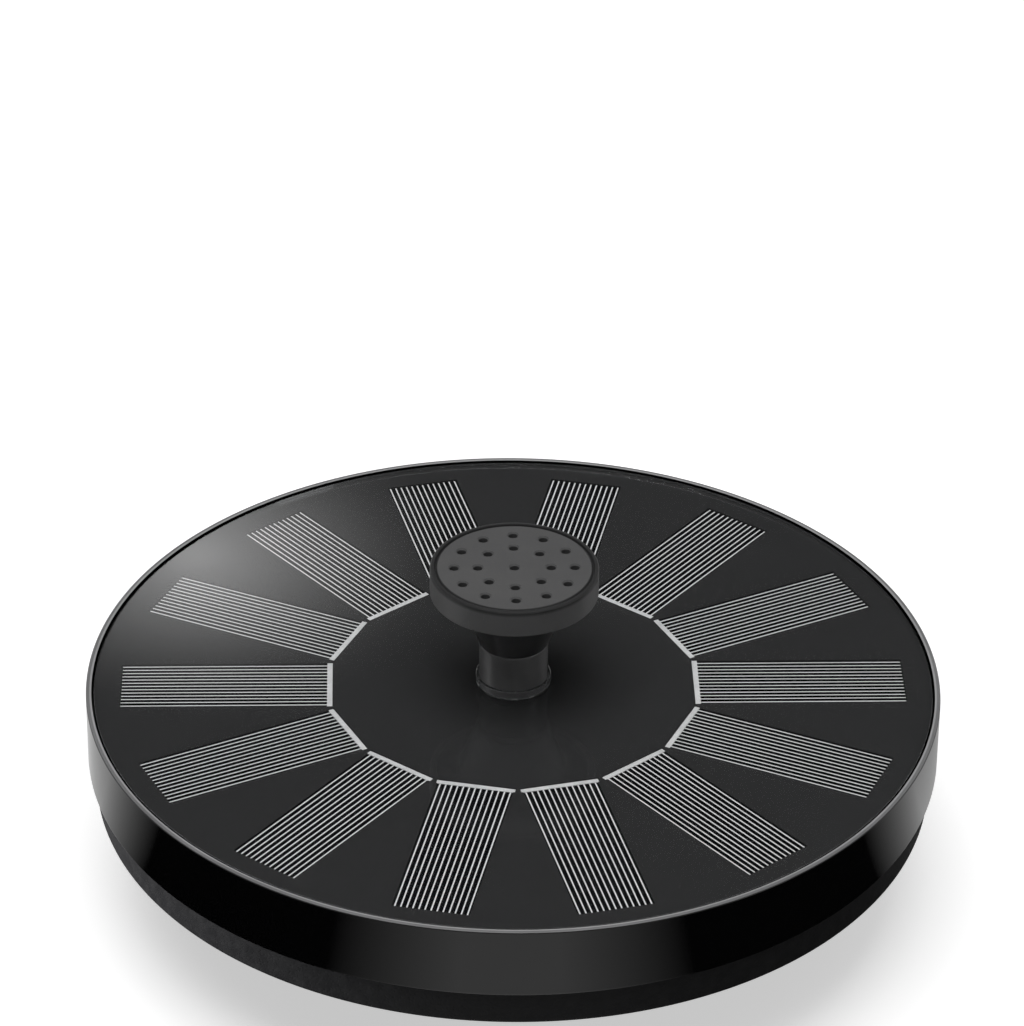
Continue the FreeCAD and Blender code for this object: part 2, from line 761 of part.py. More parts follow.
def volute_exit(body):
    """The slanted channel from the impeller's chamber to the foot of the duct."""
    channel = new_sketch(body, "XY_Plane", "level.chamber_bottom")
    draw(
        channel,
        [
            ("level.exit_x + level.exit_side_x", "level.exit_y - level.exit_side_y"),
            ("level.duct_offset + level.exit_side_x", "0 - level.exit_side_y",
             ("level.duct_offset", "0", "size.duct_bore")),
            ("level.duct_offset - level.exit_side_x", "level.exit_side_y"),
            ("level.exit_x - level.exit_side_x", "level.exit_y + level.exit_side_y"),
        ],
    )
    extrude(body, "Pocket", channel, "size.chamber_height", reverse=True)
    drop = new_sketch(body, "XY_Plane", "level.chamber_top")
    circle_at(drop, "level.duct_offset", "0", "size.duct_bore")
    extrude(body, "Pocket", drop, "size.partition_thickness", reverse=True)


def cover_screw_place(sketch, radius):
    """A circle where the first cover screw goes, half a step round from the +X axis."""
    x = "level.cover_screw_circle * cos(180 / size.cover_screw_count)"
    y = "level.cover_screw_circle * sin(180 / size.cover_screw_count)"
    circle_at(sketch, x, y, radius)


def volute_cover():
    """Closes the volute from below, with the inlet eye and the shaft's lower socket on three arms."""
    body = new_body("volute_cover")
    revolve(
        body,
        [
            ("size.inlet_radius", "level.cover_bottom"),
            ("level.cover_radius", "level.cover_bottom"),
            ("level.cover_radius", "level.chamber_bottom"),
            ("size.inlet_radius", "level.chamber_bottom"),
        ],
    )
    arm = new_sketch(body, "XY_Plane", "level.cover_bottom")
    box_outline(arm, "0", "size.inlet_radius + size.arm_width / 2", "size.arm_width / 2")
    around(body, extrude(body, "Pad", arm, "size.cover_thickness"), "size.cover_screw_count")
    socket = new_sketch(body, "XY_Plane", "level.cover_bottom")
    circle_at(socket, "0", "0", "level.seat_radius + size.seat_wall")
    extrude(body, "Pad", socket, "size.cover_thickness + size.boss_rise")
    recess = new_sketch(body, "XY_Plane", "level.boss_top")
    circle_at(recess, "0", "0", "level.seat_radius")
    extrude(body, "Pocket", recess, "level.boss_top - level.socket_bottom")
    hole = new_sketch(body, "XY_Plane", "level.chamber_bottom")
    cover_screw_place(hole, "size.screw_radius + size.screw_clearance")
    around(body, extrude(body, "Pocket", hole, "size.cover_thickness"), "size.cover_screw_count")
    return body


def screw_ring(label, circle, seat, length, count):
    """A ring of cross-recessed pan-head screws, heads down, as separate solids of one node."""
    body = new_body(label, turn=180 / number(count))
    body.AllowCompound = True
    sketch = new_sketch(body)
    head, bottom = f"{circle} + size.screw_head_radius", f"{seat} - size.screw_head_height"
    bend = "size.screw_head_height * 0.6"
    draw(
        sketch,
        [
            (circle, bottom),
            (f"{head} - {bend}", bottom, (f"{head} - {bend}", f"{bottom} + {bend}", bend)),
            (head, f"{bottom} + {bend}"),
            (head, seat),
            (f"{circle} + size.screw_radius", seat),
            (f"{circle} + size.screw_radius", f"{seat} + {length}"),
            (circle, f"{seat} + {length}"),
        ],
    )
    axis = sketch.addGeometry(Part.LineSegment(V(number(circle), 0, 0), V(number(circle), 5, 0)), True)
    pin_point(sketch, axis, 1, circle, "0")
    pin_point(sketch, axis, 2, circle, "5")
    turned = body.newObject("PartDesign::Revolution", "revolution")
    turned.Profile = sketch
    turned.ReferenceAxis = (sketch, ["Axis0"])
    turned.Angle = 360
    doc.recompute()
    reach = "size.screw_head_radius * 0.62"
    cross = [f"{circle} - {reach}", f"{circle} - size.recess_width / 2",
             f"{circle} + size.recess_width / 2", f"{circle} + {reach}"]
    low = [f"0 - {reach}", "0 - size.recess_width / 2", "size.recess_width / 2", reach]
    recess = new_sketch(body, "XY_Plane", f"{bottom}")
    draw(
        recess,
        [
            (cross[1], low[0]), (cross[2], low[0]), (cross[2], low[1]), (cross[3], low[1]),
            (cross[3], low[2]), (cross[2], low[2]), (cross[2], low[3]), (cross[1], low[3]),
            (cross[1], low[2]), (cross[0], low[2]), (cross[0], low[1]), (cross[1], low[1]),
        ],
    )
    extrude(body, "Pocket", recess, "size.recess_depth", reverse=True)
    pattern = around(body, turned, count)
    pattern.Originals = [turned, body.Group[-2]]
    doc.recompute()
    return body


def screws():
    """The screws of the housing's flange and those of the volute's cover."""
    return [
        screw_ring("housing_screws", "level.screw_circle", "level.flange_bottom",
                   "size.screw_length", "size.screw_count"),
        screw_ring("cover_screws", "level.cover_screw_circle", "level.cover_bottom",
                   "size.screw_length - size.flange_thickness", "size.cover_screw_count"),
    ]


def outlet_duct():
    """Pipe from the volute's exit up past the motor and over to the spigot, with its seal."""
    body = new_body("outlet_duct")
    bend = "level.duct_bend"
    path = new_sketch(body)
    draw(
        path,
        [
            ("level.duct_offset", "level.duct_foot"),
            ("level.duct_offset", f"level.duct_axis - {bend}",
             (f"level.duct_offset - {bend}", f"level.duct_axis - {bend}", bend)),
            (f"level.duct_offset - {bend}", "level.duct_axis"),
            (bend, "level.duct_axis", (bend, f"level.duct_axis + {bend}", bend)),
            ("0", f"level.duct_axis + {bend}"),
            ("0", "level.deck_top"),
        ],
        closed=False,
    )
    outside = new_sketch(body, "XY_Plane", "level.duct_foot")
    circle_at(outside, "level.duct_offset", "0", "level.duct_radius")
    pipe(body, "AdditivePipe", path, outside)
    flange = new_sketch(body, "XY_Plane", "level.deck_bottom - size.duct_flange")
    circle_at(flange, "0", "0", "level.duct_radius + size.duct_flange_reach")
    extrude(body, "Pad", flange, "size.duct_flange")
    bore = new_sketch(body, "XY_Plane", "level.duct_foot")
    circle_at(bore, "level.duct_offset", "0", "size.duct_bore")
    pipe(body, "SubtractivePipe", path, bore)
    seal = seal_ring("duct_o_ring", "level.seal_inner + size.ring_section",
                     "level.deck_bottom + level.seal_depth / 2")
    return [body, seal]


# ---- rotor, bearings and stator -----------------------------------------------------------------


def rotor_parts():
    """Impeller on its hub, the magnet round the hub and the two bushes inside it."""
    impeller = new_body("impeller")
    revolve(
        impeller,
        [
            ("level.hub_hole", "level.rotor_bottom"),
            ("level.hub_radius", "level.rotor_bottom"),
            ("level.hub_radius", "level.disc_bottom"),
            ("size.impeller_radius", "level.disc_bottom"),
            ("size.impeller_radius", "level.disc_top"),
            ("level.hub_radius", "level.disc_top"),
            ("level.hub_radius", "level.rotor_top"),
            ("level.hub_hole", "level.rotor_top"),
        ],
    )
    blade = new_sketch(impeller, "XY_Plane", "level.blade_bottom")
    box_outline(blade, "level.blade_start", "size.impeller_radius - size.blade_thickness / 4",
                "size.blade_thickness / 2")
    around(impeller, extrude(impeller, "Pad", blade, "level.disc_bottom - level.blade_bottom"),
           "size.blade_count")
    magnet = ring("rotor_magnet", "level.hub_radius + size.running_clearance", "size.magnet_radius",
                  "level.disc_top", "level.rotor_top - size.washer_thickness")
    bushes = []
    for name, bottom in (("lower_bush", "level.rotor_bottom"),
                         ("upper_bush", "level.rotor_top - size.bush_length")):
        bushes.append(ring(name, "level.bearing_bore", "level.bush_radius",
                           bottom, f"{bottom} + size.bush_length"))
    return [impeller, magnet, group("rotor_bushes", bushes)]


def shaft_parts():
    """The fixed ceramic shaft, the rubber cushions at its ends and the thrust washers."""
    shaft = doc.addObject("Part::Cylinder", "pump_shaft")
    shaft.Label = "pump_shaft"
    shaft.setExpression("Radius", "size.shaft_radius")
    shaft.setExpression("Height", "level.well_ceiling - level.socket_bottom")
    shaft.setExpression("Placement.Base.z", "level.socket_bottom")
    lower = ring("lower_cushion", "level.bearing_bore", "level.cushion_radius",
                 "level.socket_bottom", "level.boss_top")
    upper = ring("upper_cushion", "level.bearing_bore", "level.cushion_radius",
                 "level.seat_bottom", "level.well_ceiling")
    washers = [
        ring("lower_washer", "level.bearing_bore", "level.cushion_radius",
             "level.boss_top + size.running_clearance",
             "level.rotor_bottom - size.running_clearance"),
        ring("upper_washer", "level.bearing_bore", "level.cushion_radius",
             "level.rotor_top + size.running_clearance",
             "level.seat_bottom - size.running_clearance"),
    ]
    return [shaft, lower, upper, group("thrust_washers", washers)]


def stator_core():
    """Laminated ring with one pole for each coil."""
    body = ring("stator_core", "level.core_inside", "level.core_radius",
                "level.core_bottom", "level.core_top")
    pole = new_sketch(body, "XY_Plane", "level.core_bottom")
    shoe = "level.pole_tip + size.pole_shoe"
    shoe_half, pole_half = "(size.pole_shoe_width / 2)", "(size.pole_width / 2)"
    root = "level.core_inside + size.core_ring / 2"
    lower = [("level.pole_tip", f"0 - {shoe_half}"), (shoe, f"0 - {shoe_half}"),
             (shoe, f"0 - {pole_half}"), (root, f"0 - {pole_half}")]
    upper = [(root, pole_half), (shoe, pole_half), (shoe, shoe_half), ("level.pole_tip", shoe_half)]
    draw(pole, lower + upper)
    pad = extrude(body, "Pad", pole, "level.core_top - level.core_bottom")
    around(body, pad, "size.pole_count")
    return body


def stator_coils():
    """One wound coil round each pole."""
    count = int(number("size.pole_count"))
    coils = []
    for k in range(count):
        body = new_body(f"stator_coil_{k + 1}", turn=k * 360 / count)
        winding = new_sketch(body, "YZ_Plane", "level.coil_inner")
        rectangle(winding, "level.coil_half_width", "level.coil_bottom", "level.coil_top")
        extrude(body, "Pad", winding, "size.coil_length")
        slot = new_sketch(body, "YZ_Plane", "level.coil_inner")
        rectangle(slot, "size.pole_width / 2 + size.coil_clearance",
                  "level.core_bottom - size.coil_clearance", "level.core_top + size.coil_clearance")
        extrude(body, "Pocket", slot, "size.coil_length", reverse=True)
        coils.append(body)
    return coils


def rectangle(sketch, half_width, low, high):
    """A rectangle centred on the sketch's y axis, between two heights."""
    left, right = f"0 - ({half_width})", half_width
    draw(sketch, [(left, low), (right, low), (right, high), (left, high)])


# ---- potting and driver -------------------------------------------------------------------------


def potting_layer():
    """Epoxy round and over the stator, with the duct passing through it."""
    body = new_body("potting_layer")
    outside = "level.housing_inside - size.potting_clearance"
    cavity = "level.core_radius + size.potting_clearance"
    well = "level.well_outside + size.potting_clearance"
    revolve(
        body,
        [
            (cavity, "level.motor_floor"),
            (outside, "level.motor_floor"),
            (outside, "level.potting_top"),
            (well, "level.potting_top"),
            (well, "level.cavity_top"),
            (cavity, "level.cavity_top"),
        ],
    )
    passage = new_sketch(body, "XY_Plane", "level.potting_top")
    circle_at(passage, "level.duct_offset", "0", "level.duct_radius + size.potting_clearance")
    extrude(body, "Pocket", passage, "level.potting_top - level.motor_floor")
    return body


def driver_parts():
    """The driver board on the potting, with its chip and capacitor, and the panel's two leads."""
    board = new_body("driver_board", turn=180)
    sketch = new_sketch(board)
    inner, outer = "level.driver_inner", "level.driver_outer"
    draw(sketch, [(inner, "level.potting_top"), (outer, "level.potting_top"),
                            (outer, "level.driver_top"), (inner, "level.driver_top")])
    sector = board.newObject("PartDesign::Revolution", "revolution")
    sector.Profile = sketch
    sector.ReferenceAxis = (sketch, ["V_Axis"])
    sector.Midplane = True
    sector.setExpression("Angle", "size.driver_angle")
    chip = doc.addObject("Part::Box", "driver_chip")
    for side, value in (("Length", "size.chip_length"), ("Width", "size.chip_width"),
                        ("Height", "size.chip_height")):
        chip.setExpression(side, value)
    place_on_driver(chip, "size.chip_angle")
    capacitor = doc.addObject("Part::Cylinder", "smoothing_capacitor")
    capacitor.setExpression("Radius", "size.capacitor_radius")
    capacitor.setExpression("Height", "size.capacitor_height")
    place_on_driver(capacitor, "size.capacitor_angle")
    leads = [lead("lead_positive", 1), lead("lead_negative", -1)]
    return [board, chip, capacitor] + leads


def place_on_driver(piece, angle):
    """Stands a piece on the driver board at an angle round the axis."""
    piece.setExpression("Placement.Base.x", f"level.part_circle * cos({angle})")
    piece.setExpression("Placement.Base.y", f"level.part_circle * sin({angle})")
    piece.setExpression("Placement.Base.z", "level.driver_top")


def lead(label, side):
    """One insulated lead from the panel board down through the deck to the driver board."""
    body = new_body(label)
    across = f"{side} * size.lead_spacing / 2"
    top, foot = "0 - level.lead_top_reach", "0 - level.lead_foot_reach"
    # two arcs of 60 degrees step sideways by as much as their radius
    step = "(level.lead_foot_reach - level.lead_top_reach)"
    middle = "((level.deck_top + level.driver_top) / 2)"
    path = new_sketch(body, "XZ_Plane", f"0 - {across}")
    draw(
        path,
        [
            (top, "level.deck_top"),
            (top, f"{middle} + {step} * sin(60)",
             (f"{top} - {step}", f"{middle} + {step} * sin(60)", step)),
            (f"{top} - {step} / 2", middle, (f"{foot} + {step}", f"{middle} - {step} * sin(60)", step)),
            (foot, f"{middle} - {step} * sin(60)"),
            (foot, "level.driver_top"),
        ],
        closed=False,
    )
    section = new_sketch(body, "XY_Plane", "level.deck_top")
    circle_at(section, top, across, "size.lead_radius")
    pipe(body, "AdditivePipe", path, section)
    return body


# ---- strainer cap -------------------------------------------------------------------------------


def strainer_cap():
    """Slotted cap that pushes over the housing from below and carries the feet."""
    body = new_body("strainer_cap")
    revolve(
        body,
        [
            ("0", "size.foot_height"),
            ("level.cap_radius", "size.foot_height"),
            ("level.cap_radius", "level.cap_top"),
            ("level.cap_inside", "level.cap_top"),
            ("level.cap_inside", "level.cover_bottom"),
            ("level.plenum_radius", "level.cover_bottom"),
            ("level.plenum_radius", "level.cap_floor_top"),
            ("0", "level.cap_floor_top"),
        ],
    )
    foot = new_sketch(body, "XY_Plane", "0")
    circle_at(foot, "level.foot_circle * cos(45)", "level.foot_circle * sin(45)", "size.foot_radius")
    around(body, extrude(body, "Pad", foot, "size.foot_height"), "size.foot_count")
    grip = new_sketch(body, "XY_Plane", "level.cover_bottom")
    circle_at(grip, "level.cap_radius", "0", "size.grip_radius")
    ribs = extrude(body, "Pad", grip, "size.cover_thickness + size.cap_engagement - size.cap_wall")
    around(body, ribs, "size.grip_count")
    side = new_sketch(body, "YZ_Plane", "level.plenum_radius / 2")
    rectangle(side, "size.side_slot_width / 2", "level.cap_floor_top",
              "level.cover_bottom - size.side_slot_margin")
    cut = extrude(body, "Pocket", side, "level.cap_radius", reverse=True)
    around(body, cut, "size.side_slot_count")
    floor = new_sketch(body, "XY_Plane", "level.cap_floor_top")
    box_outline(floor, "size.floor_slot_start", "level.floor_slot_end", "size.floor_slot_width / 2")
    around(body, extrude(body, "Pocket", floor, "size.cap_floor"), "size.floor_slot_count")
    return body


# ---- the whole pump -----------------------------------------------------------------------------


def build_nodes():
    nodes = [upper_shell(), float_ring()]
    nodes += panel_layers()
    nodes += solar_cells()
    nodes += riser_parts()
    nodes += nozzle_parts()
    nodes += [pump_housing(), volute_cover()]
    nodes += screws()
    nodes += outlet_duct()
    nodes += rotor_parts()
    nodes += shaft_parts()
    nodes += [stator_core()]
    nodes += stator_coils()
    nodes += [potting_layer()]
    nodes += driver_parts()
    nodes += [strainer_cap()]
    doc.recompute()
    return nodes


def check_document(nodes):
    """Stops the build if any object failed or any node has no sound shape."""
    for item in doc.Objects:
        if "Invalid" in item.State or "Error" in item.State:
            raise RuntimeError(f"{item.Label} failed: {item.State}")
    for node in nodes:
        if node.Shape.isNull() or not node.Shape.isValid() or not node.Shape.Solids:
            raise RuntimeError(f"{node.Label} has no valid solid")


def export_nodes(nodes):
    os.makedirs("parts", exist_ok=True)
    for node in nodes:
        node.Shape.exportStep(f"parts/{node.Label}.step")


all_nodes = build_nodes()
check_document(all_nodes)
export_nodes(all_nodes)
print(len(all_nodes), "nodes written")
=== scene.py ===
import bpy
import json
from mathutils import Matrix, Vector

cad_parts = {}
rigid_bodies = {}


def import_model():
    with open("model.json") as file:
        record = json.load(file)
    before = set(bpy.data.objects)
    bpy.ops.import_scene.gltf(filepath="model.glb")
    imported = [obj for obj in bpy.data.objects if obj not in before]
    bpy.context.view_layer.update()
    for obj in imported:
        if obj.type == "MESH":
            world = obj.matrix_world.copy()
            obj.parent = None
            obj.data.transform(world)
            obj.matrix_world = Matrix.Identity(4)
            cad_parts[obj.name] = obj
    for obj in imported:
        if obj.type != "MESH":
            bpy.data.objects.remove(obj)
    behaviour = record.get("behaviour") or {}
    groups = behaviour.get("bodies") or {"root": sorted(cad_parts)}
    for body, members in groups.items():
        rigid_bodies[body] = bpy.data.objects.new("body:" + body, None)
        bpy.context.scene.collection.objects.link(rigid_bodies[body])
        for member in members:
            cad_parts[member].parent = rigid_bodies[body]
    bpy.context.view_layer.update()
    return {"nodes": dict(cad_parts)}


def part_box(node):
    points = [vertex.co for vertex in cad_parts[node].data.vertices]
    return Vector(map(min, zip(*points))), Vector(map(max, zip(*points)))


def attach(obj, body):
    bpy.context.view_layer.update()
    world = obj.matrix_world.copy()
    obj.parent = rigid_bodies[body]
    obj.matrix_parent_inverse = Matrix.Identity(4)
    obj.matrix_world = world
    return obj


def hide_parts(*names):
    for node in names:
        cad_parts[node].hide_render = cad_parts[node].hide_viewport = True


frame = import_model()

import json
import math
import bpy
import bmesh
from mathutils import Matrix, Vector

mm = 0.001
scene = bpy.context.scene
print("frame loaded:", len(frame["nodes"]), "nodes")


def top(node):
    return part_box(node)[1].z / mm


def bottom(node):
    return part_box(node)[0].z / mm


def reach(node):
    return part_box(node)[1].x / mm


def leastX(node):
    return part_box(node)[0].x / mm


def polar(radius, angle):
    return radius * math.cos(angle), radius * math.sin(angle)


# mesh helpers: all sizes are in millimetres, and finishMesh turns them into metres

def roundCorners(corners, steps=4):
    # corners are (radius, height, rounding); gives the outline with its corners rounded
    line = []
    count = len(corners)
    for k, (x, z, rounding) in enumerate(corners):
        here = Vector((x, z))
        before = Vector(corners[k - 1][:2]) - here
        after = Vector(corners[(k + 1) % count][:2]) - here
        if rounding <= 0 or before.length < 1e-6 or after.length < 1e-6:
            line.append((x, z))
            continue
        half = before.angle(after) / 2
        if half > math.radians(88):
            line.append((x, z))
            continue
        cut = min(rounding / math.tan(half), before.length * 0.48, after.length * 0.48)
        radius = cut * math.tan(half)
        start, end = here + before.normalized() * cut, here + after.normalized() * cut
        centre = here + (before.normalized() + after.normalized()).normalized() * radius / math.sin(half)
        for s in range(steps + 1):
            arm = (start - centre).lerp(end - centre, s / steps).normalized() * radius
            line.append(tuple(centre + arm))
    return line


def latheMesh(bm, line, turns=192, centre=(0, 0), closed=True):
    # turns an outline about a vertical axis at centre
    rings = []
    for x, z in line:
        spots = [polar(x, 2 * math.pi * k / turns) for k in range(turns)] if abs(x) > 1e-6 else [(0, 0)]
        rings.append([bm.verts.new((centre[0] + across, centre[1] + along, z)) for across, along in spots])
    pairs = list(zip(rings, rings[1:]))
    if closed:
        pairs.append((rings[-1], rings[0]))
    for one, two in pairs:
        if len(one) == 1 and len(two) == 1:
            continue  # a run along the axis has no surface
        for k in range(turns):
            n = (k + 1) % turns
            if len(one) == 1:
                bm.faces.new((one[0], two[k], two[n]))
            elif len(two) == 1:
                bm.faces.new((one[k], two[0], one[n]))
            else:
                bm.faces.new((one[k], two[k], two[n], one[n]))


def boxMesh(bm, low, high, turn=0.0, rounding=0.0):
    # a box turned about the vertical axis, its edges rounded if asked
    before = set(bm.verts)
    made = bmesh.ops.create_cube(bm, size=1)
    for v in made["verts"]:
        v.co = Vector([low[i] + (v.co[i] + 0.5) * (high[i] - low[i]) for i in range(3)])
    if rounding > 0:
        edges = list({e for v in made["verts"] for e in v.link_edges})
        bmesh.ops.bevel(bm, geom=edges, offset=rounding, segments=2, profile=0.6, affect="EDGES")
    verts = [v for v in bm.verts if v not in before]
    bmesh.ops.rotate(bm, verts=verts, cent=(0, 0, 0), matrix=Matrix.Rotation(math.radians(turn), 3, "Z"))


def prismMesh(bm, *ends):
    # a prism between two outlines that match corner by corner
    near, far = [[bm.verts.new(spot) for spot in end] for end in ends]
    for k in range(len(near)):
        n = (k + 1) % len(near)
        bm.faces.new((near[k], near[n], far[n], far[k]))
    bm.faces.new(list(reversed(near)))
    bm.faces.new(far)


def crossTool(centre, far, wide, low, high):
    # an upright prism with a plus-shaped outline, for carving
    outline = []
    for k in range(4):
        cos, sin = polar(1, k * math.pi / 2)
        outline += [(x * cos - y * sin, x * sin + y * cos) for x, y in ((far, -wide), (far, wide), (wide, wide))]
    bm = bmesh.new()
    prismMesh(bm, *[[(centre[0] + x, centre[1] + y, z) for x, y in outline] for z in (low, high)])
    return finishMesh(bm, "cross")


def finishMesh(bm, name, sharp=32):
    bmesh.ops.remove_doubles(bm, verts=bm.verts, dist=1e-5)
    bmesh.ops.recalc_face_normals(bm, faces=bm.faces)
    for v in bm.verts:
        v.co *= mm
    mesh = bpy.data.meshes.new(name)
    bm.to_mesh(mesh)
    bm.free()
    piece = bpy.data.objects.new(name, mesh)
    scene.collection.objects.link(piece)
    shadeSmooth(piece, sharp)
    return piece


def shadeSmooth(piece, sharp=32):
    mesh = piece.data
    mesh.polygons.foreach_set("use_smooth", [True] * len(mesh.polygons))
    mesh.set_sharp_from_angle(angle=math.radians(sharp))


def holdFlats(line, margin=0.06, least=0.6):
    # extra rings close to both ends of each long run keep its shading flat
    held = []
    for k, spot in enumerate(line):
        start, end = Vector(spot), Vector(line[(k + 1) % len(line)])
        held.append(spot)
        if (end - start).length > least:
            step = (end - start).normalized() * margin
            held += [tuple(start + step), tuple(end - step)]
    return held


def turned(name, line, turns, centre=(0, 0), closed=True):
    # one turned piece, its outline used as it is
    bm = bmesh.new()
    latheMesh(bm, line, turns, centre, closed)
    return finishMesh(bm, name)


def lathe(name, corners, turns=192, steps=4):
    # one turned piece about the object's axis, its corners rounded
    return turned(name, holdFlats(roundCorners(corners, steps)), turns)


def carve(piece, tool, how="DIFFERENCE"):
    # cuts the tool out of the piece, or joins it on, and removes the tool
    modifier = piece.modifiers.new("carve", "BOOLEAN")
    modifier.operation = how
    modifier.object = tool
    modifier.solver = "EXACT"
    bpy.context.view_layer.update()
    shaped = piece.evaluated_get(bpy.context.evaluated_depsgraph_get())
    mesh = bpy.data.meshes.new_from_object(shaped)
    piece.modifiers.clear()
    old = piece.data
    piece.data = mesh
    bpy.data.meshes.remove(old)
    bpy.data.objects.remove(tool)
    shadeSmooth(piece)


def dress(piece, material):
    piece.data.materials.clear()
    piece.data.materials.append(material)


def place(piece, body, material, slotName, *nodes):
    # hands a finished piece to its body, where it takes the place of the plain nodes
    dress(piece, material)
    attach(piece, body)
    if nodes:
        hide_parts(*nodes)


# shared nodes and surface effects

def addNode(tree, kind, inputs, **settings):
    # a new shader node; each input takes a value or another node's output
    node = tree.nodes.new("ShaderNode" + kind)
    for label, value in settings.items():
        setattr(node, label, value)
    for label, value in inputs.items():
        if isinstance(value, bpy.types.NodeSocket):
            tree.links.new(value, node.inputs[label])
        else:
            node.inputs[label].default_value = value
    return node


def mathNode(tree, how, *values):
    return addNode(tree, "Math", dict(enumerate(values)), operation=how).outputs[0]


def product(tree, first, *others):
    for other in others:
        first = mathNode(tree, "MULTIPLY", first, other)
    return first


def noiseNode(tree, vector, scale, detail, rough):
    inputs = {"Vector": vector, "Scale": scale, "Detail": detail, "Roughness": rough}
    return addNode(tree, "TexNoise", inputs).outputs["Fac"]


def cellNode(tree, vector, scale):
    return addNode(tree, "TexVoronoi", {"Vector": vector, "Scale": scale}).outputs["Distance"]


def rampNode(tree, value, low, high):
    # nought at low, one at high
    return addNode(tree, "MapRange", {"Value": value, "From Min": low, "From Max": high}).outputs["Result"]


def objectCoords(tree):
    return tree.nodes.new("ShaderNodeTexCoord").outputs["Object"]


def splitNode(tree, vector):
    return addNode(tree, "SeparateXYZ", {0: vector}).outputs


def lengthNode(tree, vector):
    return addNode(tree, "VectorMath", {0: vector}, operation="LENGTH").outputs["Value"]


def axisDistance(tree, where):
    # how far a spot is from the object's upright axis
    return lengthNode(tree, addNode(tree, "CombineXYZ", {"X": where["X"], "Y": where["Y"]}).outputs[0])


def newGroup(name, inputs, outputs):
    # a node group of plain numbers, with its inner sockets
    group = bpy.data.node_groups.new(name, "ShaderNodeTree")
    for label, value in inputs.items():
        socket = group.interface.new_socket(name=label, in_out="INPUT", socket_type="NodeSocketFloat")
        socket.default_value = value
    for label in outputs:
        group.interface.new_socket(name=label, in_out="OUTPUT", socket_type="NodeSocketFloat")
    return group, group.nodes.new("NodeGroupInput").outputs, group.nodes.new("NodeGroupOutput").inputs


def makeMouldGrain():
    # fine texture of a moulded surface: a height for bump and a slow drift for the roughness
    group, given, made = newGroup("mouldGrain", {"Scale": 3000.0, "Drift Scale": 60.0}, ("Height", "Drift"))
    where = objectCoords(group)
    slow = noiseNode(group, where, given["Drift Scale"], 3.0, 0.6)
    group.links.new(noiseNode(group, where, given["Scale"], 2.0, 0.5), made["Height"])
    group.links.new(rampNode(group, slow, 0.3, 0.7), made["Drift"])
    return group


def makeHandling():
    # smudges and hairline scratches from handling
    group, given, made = newGroup("handling", {"Smudge Scale": 45.0, "Scratch Scale": 260.0}, ("Smudge", "Scratch"))
    where = objectCoords(group)
    smudge = noiseNode(group, where, given["Smudge Scale"], 2.5, 0.5)
    streaks = []
    for turn, squeeze in ((0.5, 90.0), (-0.9, 130.0)):
        mapping = addNode(group, "Mapping", {"Vector": where, "Rotation": (0.2, 0.1, turn),
                                             "Scale": (1.0, squeeze, 1.0)})
        streak = noiseNode(group, mapping.outputs["Vector"], given["Scratch Scale"], 1.0, 0.4)
        streaks.append(rampNode(group, streak, 0.74, 0.8))
    group.links.new(rampNode(group, smudge, 0.48, 0.72), made["Smudge"])
    group.links.new(mathNode(group, "MAXIMUM", *streaks), made["Scratch"])
    return group


def makeSettledDust():
    # pale specks and a thin film that lie on what faces up
    group, given, made = newGroup("settledDust", {"Speck Scale": 900.0, "Amount": 0.5}, ("Mask",))
    where = objectCoords(group)
    upward = splitNode(group, group.nodes.new("ShaderNodeNewGeometry").outputs["Normal"])["Z"]
    specks = rampNode(group, cellNode(group, where, given["Speck Scale"]), 0.16, 0.05)
    film = rampNode(group, noiseNode(group, where, 70.0, 5.0, 0.7), 0.5, 0.9)
    mask = product(group, mathNode(group, "MAXIMUM", specks, film), rampNode(group, upward, 0.3, 1.0),
                   given["Amount"])
    group.links.new(mask, made["Mask"])
    return group


mouldGrain = makeMouldGrain()
handling = makeHandling()
settledDust = makeSettledDust()
dustColour = (0.25, 0.24, 0.22)


